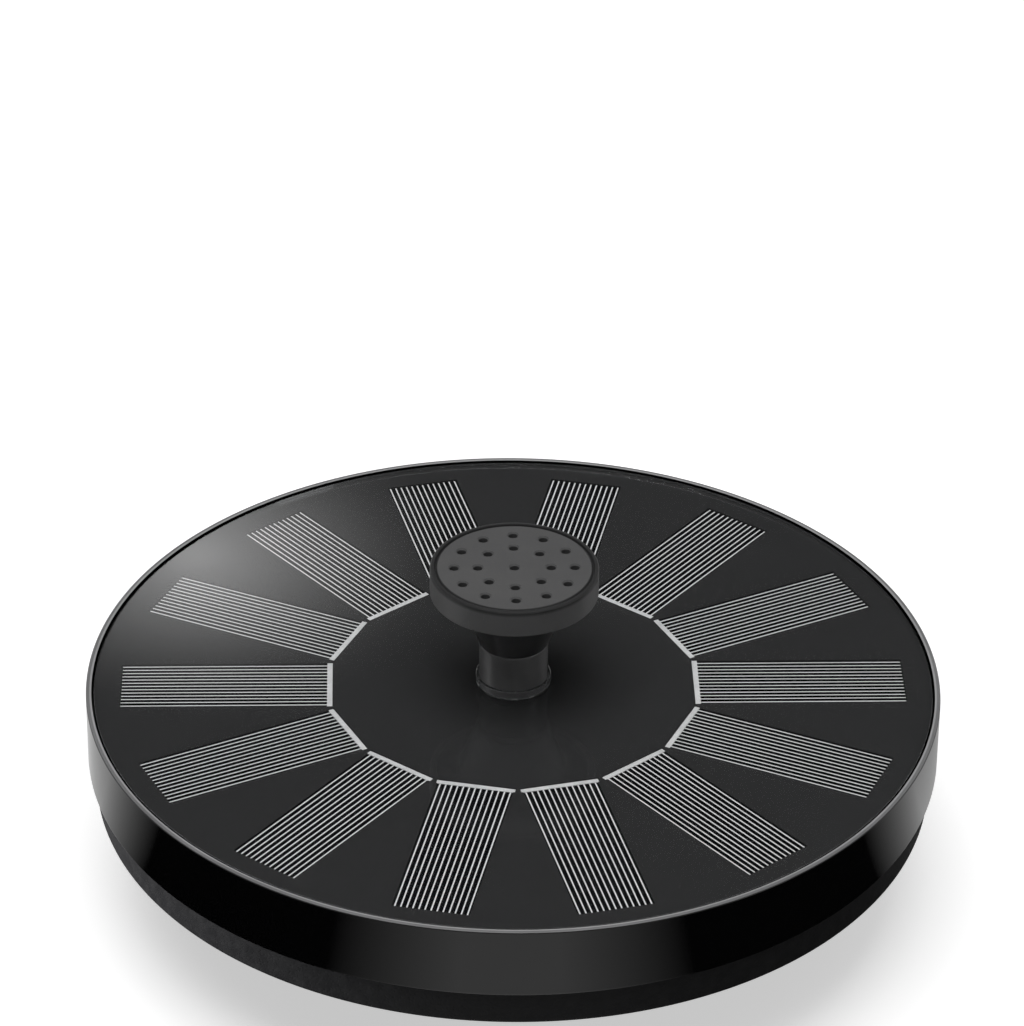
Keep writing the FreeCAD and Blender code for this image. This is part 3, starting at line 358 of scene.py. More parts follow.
class Finish:
    # a material and the few moves that every finish here shares
    def __init__(self, name, colour, roughness, **fixed):
        self.material = bpy.data.materials.new(name)
        self.material.use_nodes = True
        self.tree = self.material.node_tree
        self.shader = self.tree.nodes["Principled BSDF"]
        self.shader.inputs["Base Color"].default_value = (*colour, 1)
        self.shader.inputs["Roughness"].default_value = roughness
        for label, value in fixed.items():
            self.shader.inputs[label.replace("_", " ")].default_value = value

    def effect(self, group, **values):
        # one of the shared effects, as its outputs
        node = self.tree.nodes.new("ShaderNodeGroup")
        node.node_tree = group
        for label, value in values.items():
            node.inputs[label.replace("_", " ")].default_value = value
        return node.outputs

    def below(self, label):
        # what a socket of the shader has so far
        socket = self.shader.inputs[label]
        return socket.links[0].from_socket if socket.links else socket.default_value

    def tint(self, mask, colour):
        # mixes another colour in where the mask is high
        inputs = {"Factor": mask, "A": self.below("Base Color"), "B": (*colour, 1)}
        mix = addNode(self.tree, "Mix", inputs, data_type="RGBA")
        self.tree.links.new(mix.outputs["Result"], self.shader.inputs["Base Color"])

    def rough(self, *parts):
        # adds each mask times its amount to the roughness
        for mask, amount in parts:
            total = mathNode(self.tree, "ADD", product(self.tree, mask, amount), self.below("Roughness"))
            self.tree.links.new(total, self.shader.inputs["Roughness"])

    def bump(self, height, strength, depth):
        inputs = {"Height": height, "Strength": strength, "Distance": depth}
        if self.shader.inputs["Normal"].links:
            inputs["Normal"] = self.below("Normal")
        node = addNode(self.tree, "Bump", inputs)
        self.tree.links.new(node.outputs["Normal"], self.shader.inputs["Normal"])

    def letLampsThrough(self, share):
        # lamps and soft light pass the clear piece, so what lies behind it is lit once
        path = self.tree.nodes.new("ShaderNodeLightPath").outputs
        clear = addNode(self.tree, "BsdfTransparent", {"Color": (share, share, share, 1)}).outputs[0]
        surface = self.shader.outputs["BSDF"]
        for ray in ("Is Diffuse Ray", "Is Shadow Ray"):
            surface = addNode(self.tree, "MixShader", {"Fac": path[ray], 1: surface, 2: clear}).outputs[0]
        self.tree.links.new(surface, self.tree.nodes["Material Output"].inputs["Surface"])


def grainFinish(name, colour, roughness, sizes, drift, driftRough, bump, **fixed):
    # a finish with a fine grain, and a slow drift of colour and roughness
    finish = Finish(name, colour, roughness, **fixed)
    finish.grain = finish.effect(mouldGrain, Scale=sizes[0], Drift_Scale=sizes[1])
    if drift:
        finish.tint(finish.grain["Drift"], drift)
    finish.rough((finish.grain["Drift"], driftRough))
    if bump:
        finish.bump(finish.grain["Height"], *bump)
    return finish


def satinPlastic(name, colour, roughness, bump):
    finish = grainFinish(name, colour, roughness, (2600.0, 90.0), None, 0.08, (bump, 0.00006))
    hand = finish.effect(handling, Smudge_Scale=70.0)
    finish.tint(hand["Scratch"], tuple(c * 1.5 + 0.03 for c in colour))
    finish.tint(finish.effect(settledDust, Amount=0.2)["Mask"], dustColour)
    finish.rough((hand["Smudge"], -0.08))
    return finish.material


pumpPlastic = satinPlastic("pumpPlastic", (0.02, 0.02, 0.021), 0.4, 0.2)
print("shared effects made")

# shell

shell = {"radius": reach("upper_shell"), "wall": 1.05, "deck": 1.6, "rimAbove": 0.3, "rimRounding": 0.32,
         "bosses": 4, "bossRadius": 2.2, "bossHeight": 5.0, "pilot": 1.05, "screwHead": 1.9,
         "spigot": 5.4, "bore": 3.7, "groove": 0.75, "grooveHalf": 0.5, "ductSeat": (4.6, 0.9),
         "leadHole": 2.6, "leadSpot": -11.0,
         # painted highlights on the rim: the lip's paler band below the rim's top, and a lighter band just outside
         # the inner wall
         "lipHighlightBand": (0.12, 0.05), "lipHighlightColour": (0.21, 0.21, 0.214),
         "rimHighlightBand": (0.42, 0.3), "rimHighlightColour": (0.4, 0.4, 0.405)}
rimTop = top("clear_front") + shell["rimAbove"]
deckTop = bottom("panel_board")
deckBottom = deckTop - shell["deck"]
spigotTop = top("upper_shell")
ringHeight = sum(corner.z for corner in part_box("spigot_o_ring")) / 2 / mm
inside = shell["radius"] - shell["wall"]
screwCircle = (reach("housing_screws") - shell["screwHead"]) / math.cos(math.radians(45))


def shellFinish():
    finish = Finish("shellPlastic", (0.002, 0.002, 0.0022), 0.05)
    tree = finish.tree
    grain = finish.effect(mouldGrain, Scale=1800.0, Drift_Scale=40.0)
    hand = finish.effect(handling)
    where = splitNode(tree, objectCoords(tree))
    lip = rampNode(tree, where["Z"], *[(rimTop - depth) * mm for depth in shell["lipHighlightBand"]])
    rimHighlight = rampNode(tree, axisDistance(tree, where), *[(inside + out) * mm for out in shell["rimHighlightBand"]])
    patch = mathNode(tree, "ADD", product(tree, grain["Drift"], 0.25), 0.75)
    finish.tint(finish.effect(settledDust, Amount=0.25)["Mask"], (0.22, 0.21, 0.2))
    # painted highlight: the lip and the band outside the inner wall are tinted paler, standing in for the light
    # that the rim's top catches
    finish.tint(product(tree, lip, patch), shell["lipHighlightColour"])
    finish.tint(product(tree, lip, rimHighlight, patch), shell["rimHighlightColour"])
    finish.rough((grain["Drift"], 0.03), (hand["Smudge"], 0.05), (hand["Scratch"], 0.1), (lip, 0.3))
    finish.bump(grain["Height"], 0.03, 0.00003)
    return finish.material


def buildShell():
    spec = shell
    low, outer, spigot = bottom("upper_shell"), spec["radius"], spec["spigot"]
    grooveFloor = spigot - spec["groove"]
    grooveLow, grooveHigh = ringHeight - spec["grooveHalf"], ringHeight + spec["grooveHalf"]
    seatRadius, seatDepth = spec["ductSeat"]
    piece = lathe("shellBody", [
        (inside, low, 0.2), (outer, low, 0.45), (outer, rimTop, spec["rimRounding"]), (inside, rimTop, 0.1),
        (inside, deckTop, 0.0), (spigot, deckTop, 0.3), (spigot, grooveLow, 0.06), (grooveFloor, grooveLow, 0.15),
        (grooveFloor, grooveHigh, 0.15), (spigot, grooveHigh, 0.06), (spigot, spigotTop, 0.4),
        (spec["bore"], spigotTop, 0.25), (spec["bore"], deckBottom + seatDepth, 0.05),
        (seatRadius, deckBottom + seatDepth, 0.05), (seatRadius, deckBottom, 0.05), (inside, deckBottom, 0.0)],
        turns=256)
    bosses = bmesh.new()
    bossLow, bossHigh = deckBottom - spec["bossHeight"], deckBottom + 0.4
    bossLine = roundCorners([(spec["pilot"], bossLow, 0.15), (spec["bossRadius"], bossLow, 0.25),
                             (spec["bossRadius"], bossHigh, 0), (spec["pilot"], bossHigh, 0)])
    for k in range(spec["bosses"]):
        latheMesh(bosses, bossLine, 32, polar(screwCircle, math.radians(45 + 360 / spec["bosses"] * k)))
    carve(piece, finishMesh(bosses, "bosses"), "UNION")
    hole = [(0, deckBottom - 1), (spec["leadHole"], deckBottom - 1),
            (spec["leadHole"], deckTop + 0.6), (0, deckTop + 0.6)]
    carve(piece, turned("leadHole", hole, 48, (spec["leadSpot"], 0), False))
    place(piece, "float_unit", shellFinish(), "shell_plastic", "upper_shell")


buildShell()
print("shell made")

# foam float

foam = {"bore": 29.48, "rounding": 1.1, "upperRounding": 0.3, "cellScale": 1500.0, "skinScale": 420.0}


def foamFinish():
    finish = Finish("floatFoam", (0.0085, 0.0085, 0.009), 0.62, Specular_IOR_Level=0.12)
    tree = finish.tree
    where = objectCoords(tree)
    pores = rampNode(tree, cellNode(tree, where, foam["cellScale"]), 0.05, 0.45)
    skin = noiseNode(tree, where, foam["skinScale"], 4.0, 0.6)
    finish.tint(rampNode(tree, skin, 0.4, 0.75), (0.013, 0.013, 0.0135))
    finish.tint(finish.effect(settledDust, Amount=0.3)["Mask"], (0.08, 0.08, 0.076))
    finish.rough((skin, 0.15))
    finish.bump(pores, 0.35, 0.00012)
    finish.bump(skin, 0.25, 0.00025)
    return finish.material


def buildFloat():
    inner, outer = foam["bore"], reach("float_ring")
    low, high = bottom("float_ring"), top("float_ring")
    piece = lathe("foamFloat", [(inner, low, foam["rounding"]), (outer, low, foam["rounding"]),
                                (outer, high, foam["upperRounding"]), (inner, high, foam["upperRounding"])],
                  turns=256, steps=6)
    place(piece, "float_unit", foamFinish(), "float_foam", "float_ring")


buildFloat()
print("float made")

# panel: clear front, mask, cells with their fingers and ribbons

panel = {"frontHole": 5.6, "frontGap": 0.02, "cells": 14, "width": 13.9, "inner": 33.9, "thickness": 0.25,
         "fingers": 13, "pitch": 1.09, "fingerWidth": 0.27, "fingerHeight": 0.03, "fingerEnds": (0.5, 0.05),
         "ribbonWidth": 1.0, "ribbonLength": 14.6, "ribbonHeight": 0.15}
cellOuter = reach("solar_cell_01")
cellTop = top("solar_cell_01")


def frontFinish():
    finish = Finish("clearFront", (0.97, 0.98, 1.0), 0.03, Transmission_Weight=1.0, IOR=1.49)
    hand = finish.effect(handling, Smudge_Scale=28.0, Scratch_Scale=45.0)
    finish.rough((hand["Smudge"], 0.02), (hand["Scratch"], 0.03))
    finish.letLampsThrough(1.0)
    return finish.material


def buildFront():
    inner, outer = panel["frontHole"], reach("clear_front")
    low, high = bottom("clear_front") + panel["frontGap"], top("clear_front")
    piece = lathe("clearFront", [(inner, low, 0.05), (outer, low, 0.05), (outer, high, 0.25), (inner, high, 0.2)],
                  turns=256)
    place(piece, "float_unit", frontFinish(), "clear_acrylic", "clear_front")


def maskFinish():
    finish = grainFinish("maskFilm", (0.029, 0.029, 0.029), 0.7, (2600.0, 24.0), (0.032, 0.032, 0.032), 0.08, None,
                         Specular_IOR_Level=0.06)
    finish.tint(rampNode(finish.tree, finish.grain["Height"], 0.62, 0.8), (0.035, 0.035, 0.035))
    return finish.material


def cellFinish():
    finish = Finish("darkSilicon", (0.0005, 0.0005, 0.0007), 0.45, Specular_IOR_Level=0.04)
    crystal = cellNode(finish.tree, objectCoords(finish.tree), 95.0)
    etch = finish.effect(mouldGrain, Scale=6000.0, Drift_Scale=160.0)
    finish.tint(rampNode(finish.tree, crystal, 0.1, 0.8), (0.0008, 0.0009, 0.0014))
    finish.tint(etch["Drift"], (0.0006, 0.0006, 0.0008))
    finish.rough((etch["Drift"], 0.1))
    return finish.material


def fingerFinish():
    return grainFinish("silverPaste", (0.92, 0.92, 0.91), 0.6, (9000.0, 900.0), (0.82, 0.82, 0.81), 0.1,
                       (0.3, 0.00002)).material


def ribbonFinish():
    finish = grainFinish("tinnedRibbon", (0.88, 0.88, 0.87), 0.4, (2400.0, 500.0), (0.72, 0.72, 0.71), 0.15,
                         (0.35, 0.00005), Metallic=0.1)
    finish.tint(finish.effect(handling, Scratch_Scale=600.0)["Scratch"], (0.92, 0.92, 0.9))
    return finish.material


def buildCells():
    silicon, spec = cellFinish(), panel
    half, start = spec["width"] / 2, spec["inner"]
    inset, outset = spec["fingerEnds"]
    fingers, ribbons = bmesh.new(), bmesh.new()
    for k in range(spec["cells"]):
        turn = k * 360 / spec["cells"]
        wafer = bmesh.new()
        boxMesh(wafer, (start, -half, cellTop - spec["thickness"]), (cellOuter, half, cellTop), turn, 0.05)
        number = f"{k + 1:02d}"
        place(finishMesh(wafer, "siliconCell" + number), "float_unit", silicon, "silicon", "solar_cell_" + number)
        for n in range(spec["fingers"]):
            y = (n - (spec["fingers"] - 1) / 2) * spec["pitch"]
            boxMesh(fingers, (start + inset, y - spec["fingerWidth"] / 2, cellTop - 0.01),
                    (cellOuter - outset, y + spec["fingerWidth"] / 2, cellTop + spec["fingerHeight"]), turn)
        boxMesh(ribbons, (start, -spec["ribbonLength"] / 2, cellTop),
                (start + spec["ribbonWidth"], spec["ribbonLength"] / 2, cellTop + spec["ribbonHeight"]), turn, 0.04)
    place(finishMesh(fingers, "contactFingers"), "float_unit", fingerFinish(), "tinned_copper")
    place(finishMesh(ribbons, "cellRibbons"), "float_unit", ribbonFinish(), "tinned_copper", "cell_ribbons")


buildFront()
dress(frame["nodes"]["mask_sheet"], maskFinish())
buildCells()
print("panel made")

# riser, gasket and nozzle

riser = {"bore": 5.55, "radius": 6.45, "gasketGap": 0.05, "gasketWall": 0.55}
nozzle = {"stem": 5.45, "stemBore": 3.9, "ringFloor": 4.65, "ringDrop": 2.15, "ringHalf": 0.5, "shoulder": 6.5,
          "funnel": 10.5, "funnelRounding": 1.4, "wall": 1.2, "dish": 14.4,
          "head": 15.7, "skirt": 1.2, "plate": 1.6, "plateDrop": 0.06, "headRounding": 0.75,
          "crease": (14.3, 14.93, 0.45),  # inner radius, outer radius, depth
          # jet holes: radius, radius at the mouth, depth of the mouth, then (circle, count)
          "jet": 0.85, "flare": 1.2, "flareDepth": 0.35, "circles": ((11.2, 12), (6.8, 8), (0.0, 1)),
          # where the painted shade in the crease lies: a band across the radius, and a depth below the top
          "creaseShadeBand": (-0.1, 0.15), "creaseDepth": (1.1, 0.5)}


def siliconeFinish():
    finish = grainFinish("clearSilicone", (0.95, 0.96, 0.97), 0.05, (1200.0, 300.0), None, 0.05, (0.04, 0.00003),
                         Transmission_Weight=1.0, IOR=1.41)
    finish.letLampsThrough(0.9)
    return finish.material


def smokeFinish():
    finish = grainFinish("smokePlastic", (0.19, 0.19, 0.192), 0.16, (1500.0, 120.0), (0.22, 0.22, 0.222), 0.06,
                         (0.06, 0.00005))
    finish.rough((finish.effect(handling)["Smudge"], 0.08))
    return finish.material


def buildRiser():
    low, high = bottom("riser_tube"), top("riser_tube")
    tube = lathe("riserTube", [(riser["bore"], low, 0.12), (riser["radius"], low, 0.15),
                               (riser["radius"], high, 0.3), (riser["bore"], high, 0.2)], turns=128)
    place(tube, "riser", smokeFinish(), "smoke_plastic", "riser_tube")
    low, high = bottom("riser_gasket"), top("riser_gasket")
    inner = riser["radius"] + riser["gasketGap"]
    outer = inner + riser["gasketWall"]
    ring = lathe("riserGasket", [(inner, low, 0.1), (outer, low, 0.1), (outer, high, 0.26), (inner, high, 0.2)],
                 turns=128, steps=6)
    place(ring, "float_unit", siliconeFinish(), "clear_silicone", "riser_gasket")


def nozzleFinish():
    finish = grainFinish("nozzlePlastic", (0.088, 0.088, 0.089), 0.42, (2600.0, 90.0), (0.098, 0.098, 0.099), 0.08,
                         (0.12, 0.00006), Specular_IOR_Level=0.35)
    tree = finish.tree
    hand = finish.effect(handling, Smudge_Scale=70.0)
    # painted shade in the crease: a darker ring at the crease's radius, near the top
    where = splitNode(tree, objectCoords(tree))
    across = rampNode(tree, axisDistance(tree, where),
                      *[(nozzle["crease"][0] + out) * mm for out in nozzle["creaseShadeBand"]])
    upper = rampNode(tree, where["Z"], *[(top("spray_cap") - depth) * mm for depth in nozzle["creaseDepth"]])
    finish.tint(hand["Scratch"], (0.16, 0.16, 0.16))
    finish.tint(finish.effect(settledDust, Amount=0.12)["Mask"], dustColour)
    finish.tint(product(tree, across, upper), (0.026, 0.026, 0.0265))
    finish.rough((hand["Smudge"], -0.06))
    return finish.material


def buildNozzle():
    spec = nozzle
    foot, step = bottom("nozzle_cup"), top("riser_tube")
    dishLow, dishHigh = bottom("spray_cap"), top("nozzle_cup")
    ring = step - spec["ringDrop"]
    ringLow, ringHigh = ring - spec["ringHalf"], ring + spec["ringHalf"]
    stem, bore, floor = spec["stem"], spec["stemBore"], spec["ringFloor"]
    cup = lathe("nozzleCup", [
        (bore, foot, 0.25), (stem, foot, 0.35), (stem, ringLow, 0.05), (floor, ringLow, 0.15),
        (floor, ringHigh, 0.15), (stem, ringHigh, 0.05), (stem, step, 0.0), (spec["shoulder"], step, 0.2),
        (spec["funnel"], dishLow, spec["funnelRounding"]), (spec["dish"], dishLow, 0.2),
        (spec["dish"], dishHigh, 0.2), (spec["funnel"] - spec["wall"], dishHigh, 0.5),
        (bore, step + spec["wall"], 1.5)], turns=160)
    # painted shade: the cup under the head gets a much darker copy of the nozzle plastic, standing in for the
    # head's shadow
    place(cup, "nozzle", satinPlastic("shadedCupPlastic", (0.009, 0.009, 0.0095), 0.28, 0.08), "nozzle_plastic",
          "nozzle_cup")
    low, high = bottom("spray_cap"), top("spray_cap")
    head, inner, plateTop = spec["head"], spec["head"] - spec["skirt"], high - spec["plateDrop"]
    creaseIn, creaseOut, creaseDepth = spec["crease"]
    cap = lathe("sprayCap", [
        (inner, low, 0.15), (head, low, 0.3), (head, high, spec["headRounding"]), (creaseOut, high, 0.03),
        (creaseOut - 0.14, high - creaseDepth, 0.1), (creaseIn + 0.3, high - creaseDepth, 0.12),
        (creaseIn, plateTop, 0.12), (0, plateTop, 0), (0, high - spec["plate"], 0),
        (inner, high - spec["plate"], 0.3)], turns=192, steps=8)
    jets = bmesh.new()
    jetLow, mouth = high - 2.4, high - spec["flareDepth"]
    jetLine = [(0, jetLow), (spec["jet"], jetLow), (spec["jet"], mouth), (spec["flare"], high + 0.01),
               (spec["flare"], high + 1), (0, high + 1)]
    for circle, count in spec["circles"]:
        for k in range(count):
            latheMesh(jets, jetLine, 28, polar(circle, 2 * math.pi * k / count), closed=False)
    carve(cap, finishMesh(jets, "jets"))
    place(cap, "nozzle", nozzleFinish(), "nozzle_plastic", "spray_cap")


buildRiser()
buildNozzle()
print("riser and nozzle made")

# plain finishes for the nodes whose shape stays as it is

innerFinishes = {
    # colour, roughness, metallic, grain size, drift size, bump, colour where it drifts
    "blackRubber": ((0.011, 0.011, 0.011), 0.55, 0.0, 3200.0, 240.0, 0.25, (0.017, 0.017, 0.017)),
    "ferriteMagnet": ((0.03, 0.029, 0.03), 0.42, 0.2, 5200.0, 500.0, 0.35, (0.048, 0.046, 0.046)),
    "acetalBush": ((0.74, 0.73, 0.69), 0.32, 0.0, 1800.0, 200.0, 0.1, (0.8, 0.79, 0.75)),
    "shaftCeramic": ((0.8, 0.78, 0.73), 0.16, 0.0, 2600.0, 400.0, 0.08, (0.86, 0.84, 0.8)),
    "boardLaminate": ((0.012, 0.028, 0.017), 0.4, 0.0, 1400.0, 160.0, 0.2, (0.018, 0.042, 0.024)),
    "pottingEpoxy": ((0.012, 0.012, 0.013), 0.18, 0.0, 260.0, 90.0, 0.35, (0.02, 0.02, 0.021)),
    "chipResin": ((0.016, 0.016, 0.017), 0.5, 0.0, 4200.0, 600.0, 0.3, (0.024, 0.024, 0.025)),
    "capacitorCan": ((0.66, 0.66, 0.67), 0.3, 1.0, 2200.0, 500.0, 0.15, (0.74, 0.74, 0.75)),
    "redInsulation": ((0.42, 0.018, 0.014), 0.36, 0.0, 1600.0, 300.0, 0.12, (0.5, 0.03, 0.02)),
    "blackInsulation": ((0.012, 0.012, 0.013), 0.38, 0.0, 1600.0, 300.0, 0.12, (0.02, 0.02, 0.021)),
    "stainlessSteel": ((0.54, 0.54, 0.53), 0.24, 1.0, 1900.0, 700.0, 0.2, (0.62, 0.61, 0.6)),
}
nodeFinishes = {
    "blackRubber": ["nozzle_o_ring", "spigot_o_ring", "duct_o_ring", "lower_cushion", "upper_cushion"],
    "ferriteMagnet": ["rotor_magnet"], "acetalBush": ["rotor_bushes"],
    "shaftCeramic": ["pump_shaft", "thrust_washers"], "boardLaminate": ["panel_board", "driver_board"],
    "pottingEpoxy": ["potting_layer"], "chipResin": ["driver_chip"], "capacitorCan": ["smoothing_capacitor"],
    "redInsulation": ["lead_positive"], "blackInsulation": ["lead_negative"],
    "stainlessSteel": ["housing_screws", "cover_screws"],
}


def innerFinish(name):
    colour, roughness, metallic, size, driftSize, bump, drift = innerFinishes[name]
    finish = grainFinish(name, colour, roughness, (size, driftSize), drift, 0.1, (bump, 0.00004), Metallic=metallic)
    hand = finish.effect(handling, Smudge_Scale=160.0, Scratch_Scale=400.0)
    finish.tint(hand["Scratch"], tuple(min(1.0, c * 1.4 + 0.02) for c in drift))
    finish.rough((hand["Smudge"], 0.08))
    return finish.material


def coreFinish():
    # stacked sheet steel, seen as fine level lines round the edge
    finish = Finish("coreSteel", (0.36, 0.36, 0.37), 0.38, Metallic=1.0)
    tree = finish.tree
    inputs = {"Vector": objectCoords(tree), "Scale": 640.0, "Distortion": 0.4}
    sheets = addNode(tree, "TexWave", inputs, bands_direction="Z").outputs["Fac"]
    grain = finish.effect(mouldGrain, Scale=2400.0, Drift_Scale=300.0)
    finish.tint(rampNode(tree, sheets, 0.55, 0.0), (0.12, 0.115, 0.11))
    finish.tint(grain["Drift"], (0.3, 0.29, 0.28))
    finish.rough((grain["Drift"], 0.15))
    finish.bump(sheets, 0.5, 0.00008)
    return finish.material


def dressAll(nodes, material):
    for name in nodes:
        dress(frame["nodes"][name], material)


for name, nodes in nodeFinishes.items():
    dressAll(nodes, innerFinish(name))
dressAll(["stator_core"], coreFinish())
dressAll(["outlet_duct", "pump_housing", "volute_cover", "strainer_cap", "impeller"], pumpPlastic)

# wound coils

coils = {"count": 6, "wire": 0.34, "build": 1.1, "turns": 7, "bend": 1.0, "coreBend": 0.3, "sides": 8}


def windingFinish():
    return grainFinish("copperWinding", (0.62, 0.24, 0.11), 0.26, (1500.0, 420.0), (0.5, 0.17, 0.075), 0.12,
                       (0.12, 0.00004), Metallic=0.9, Coat_Weight=0.5, Coat_Roughness=0.12).material


def racetrack(halfWide, low, high, radius, steps=5):
    # rounded loop in the across and height plane
    line = []
    right, upper, lower = halfWide - radius, high - radius, low + radius
    for k, (cornerX, cornerZ) in enumerate(((right, upper), (-right, upper), (-right, lower), (right, lower))):
        for s in range(steps + 1):
            across, rise = polar(radius, math.radians(90 * k + 90 * s / steps))
            line.append((cornerX + across, cornerZ + rise))
    return line


def joinLoops(bm, one, two):
    # a strip of faces between two closed loops of corners
    for s in range(len(one)):
        n = (s + 1) % len(one)
        bm.faces.new((one[s], one[n], two[n], two[s]))


def buildCoils():
    winding, spec = windingFinish(), coils
    low, high = bottom("stator_coil_1"), top("stator_coil_1")
    inner, outer = leastX("stator_coil_1"), reach("stator_coil_1")
    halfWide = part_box("stator_coil_1")[1].y / mm
    wire, build = spec["wire"], spec["build"]
    pitch = (outer - inner - wire) / (spec["turns"] - 1)
    path = racetrack(halfWide - wire / 2, low + wire / 2, high - wire / 2, spec["bend"])
    for k in range(spec["count"]):
        bm = bmesh.new()
        # the inner layers as one body, with the last layer of wire over it
        loops = [racetrack(halfWide - wire * 0.55, low + wire * 0.55, high - wire * 0.55, spec["bend"]),
                 racetrack(halfWide - build, low + build, high - build, spec["coreBend"])]
        rings = [[bm.verts.new((x, across, z)) for across, z in loop]
                 for loop in loops for x in (inner + wire * 0.4, outer - wire * 0.4)]
        for one, two in ((0, 1), (1, 3), (3, 2), (2, 0)):
            joinLoops(bm, rings[one], rings[two])
        for n in range(spec["turns"]):
            middle = inner + wire / 2 + n * pitch
            hoops = []
            for s, (across, z) in enumerate(path):
                ahead, behind = path[(s + 1) % len(path)], path[s - 1]
                along = Vector((ahead[0] - behind[0], ahead[1] - behind[1])).normalized()
                hoop = [polar(wire / 2, 2 * math.pi * c / spec["sides"]) for c in range(spec["sides"])]
                hoops.append([bm.verts.new((middle + a * 1.06, across + along.y * b, z - along.x * b))
                              for a, b in hoop])
            for s in range(len(path)):
                joinLoops(bm, hoops[s], hoops[(s + 1) % len(path)])
        turn = Matrix.Rotation(math.radians(360 * k / spec["count"]), 3, "Z")
        bmesh.ops.rotate(bm, verts=bm.verts, cent=(0, 0, 0), matrix=turn)
        place(finishMesh(bm, f"woundCoil{k + 1}", 60), "float_unit", winding, "copper_winding",
              f"stator_coil_{k + 1}")


buildCoils()
print("inner nodes dressed")

# driver parts and screws

driver = {"can": 0.14, "crimpLow": 1.0, "crimpHigh": 1.7, "crimpDepth": 0.3, "sleeveLip": 0.8, "vent": 1.2,
          "ventHalf": 0.09, "ventDepth": 0.12,
          "legs": 4, "legPitch": 1.2, "legWidth": 0.42, "bodyHalf": 1.45, "bodyLift": 0.15, "dimple": (0.8, -0.75),
          # each leg's outline: shoulder, drop and foot
          "legShape": ((1.35, 0.62), (1.62, 0.62), (1.62, 0.0), (2.0, 0.0), (2.0, 0.16), (1.78, 0.16), (1.78, 0.8),
                       (1.35, 0.8)),
          # small parts: half width, half length and height of the body, then distance and angle of each
          "smallBody": (0.55, 0.9, 0.5), "smallParts": ((16.4, 118), (16.4, 128), (17.4, 163), (17.4, 172),
                                                        (16.2, 236), (16.2, 246))}
screw = {"head": shell["screwHead"], "headHeight": 1.3, "root": 0.76, "crest": 0.98, "pitch": 0.8, "runOut": 0.9,
         "slot": 0.21, "slotReach": 1.15, "slotDepth": 0.75}


def sleeveFinish():
    return grainFinish("capacitorSleeve", (0.012, 0.014, 0.02), 0.3, (1400.0, 420.0), (0.02, 0.024, 0.034), 0.1,
                       (0.1, 0.00004)).material


def centreOf(node):
    low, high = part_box(node)
    return (low.x + high.x) / 2 / mm, (low.y + high.y) / 2 / mm


def buildCapacitor():
    spec = driver
    low, high = bottom("smoothing_capacitor"), top("smoothing_capacitor")
    radius = (reach("smoothing_capacitor") - leastX("smoothing_capacitor")) / 2
    centre = centreOf("smoothing_capacitor")

    def crimp(outer):
        # the pinched stretch of a wall, from below upwards
        middle = (spec["crimpLow"] + spec["crimpHigh"]) / 2
        return [(outer, low + spec["crimpLow"], 0.1), (outer - spec["crimpDepth"], low + middle, 0.15),
                (outer, low + spec["crimpHigh"], 0.1)]

    inner, crown = radius - spec["can"], high - 0.12
    can = turned("capacitorCan", roundCorners([(0, low + 0.02, 0), (inner, low + 0.02, 0.1)] + crimp(inner) +
                                              [(inner, crown, 0.35), (0, crown, 0)]), 64, centre)
    carve(can, crossTool(centre, spec["vent"], spec["ventHalf"], crown - spec["ventDepth"], high + 0.2))
    place(can, "float_unit", bpy.data.materials["capacitorCan"], "capacitor_can", "smoothing_capacitor")
    skin, lip = inner + 0.01, radius - spec["sleeveLip"]
    outline = [(radius, low + 0.3, 0.04)] + crimp(radius) + [(radius, high, 0.4), (lip, high, 0.03)]
    outline += [(lip, high - 0.1, 0.0), (skin, high - 0.1, 0.3)] + crimp(skin)[::-1] + [(skin, low + 0.3, 0.0)]
    place(turned("capacitorSleeve", roundCorners(outline), 64, centre), "float_unit", sleeveFinish(),
          "capacitor_can")


def buildChip():
    spec = driver
    low, high = bottom("driver_chip"), top("driver_chip")
    start, end = leastX("driver_chip"), reach("driver_chip")
    middleX, middleY = centreOf("driver_chip")
    bm = bmesh.new()
    boxMesh(bm, (start, middleY - spec["bodyHalf"], low + spec["bodyLift"]),
            (end, middleY + spec["bodyHalf"], high), 0, 0.14)
    chip = finishMesh(bm, "chipBody")
    dimple = [(0, high - 0.12), (0.32, high - 0.12), (0.36, high + 0.2), (0, high + 0.2)]
    spot = (start + spec["dimple"][0], middleY + spec["dimple"][1])
    carve(chip, turned("dimple", dimple, 24, spot, False))
    place(chip, "float_unit", bpy.data.materials["chipResin"], "chip_resin", "driver_chip")
    legs = bmesh.new()
    for k in range(spec["legs"]):
        x = middleX + (k - (spec["legs"] - 1) / 2) * spec["legPitch"]
        for side in (-1, 1):
            prismMesh(legs, *[[(x + end * spec["legWidth"] / 2, middleY + side * y, low + z)
                               for y, z in spec["legShape"]] for end in (-1, 1)])
    place(finishMesh(legs, "chipLegs"), "float_unit", bpy.data.materials["tinnedRibbon"], "tinned_copper")


def buildSmallParts():
    floor = top("driver_board")
    halfWide, halfLong, height = driver["smallBody"]
    bodies, caps = bmesh.new(), bmesh.new()
    for radius, angle in driver["smallParts"]:
        boxMesh(bodies, (radius - halfWide, -halfLong, floor + 0.01), (radius + halfWide, halfLong, floor + height),
                angle, 0.06)
        for near, far in ((-1.02, -0.62), (0.62, 1.02)):
            boxMesh(caps, (radius - halfWide - 0.03, near, floor),
                    (radius + halfWide + 0.03, far, floor + height + 0.03), angle, 0.05)
    place(finishMesh(bodies, "smallParts"), "float_unit", bpy.data.materials["chipResin"], "chip_resin")
    place(finishMesh(caps, "smallPartEnds"), "float_unit", bpy.data.materials["tinnedRibbon"], "tinned_copper")


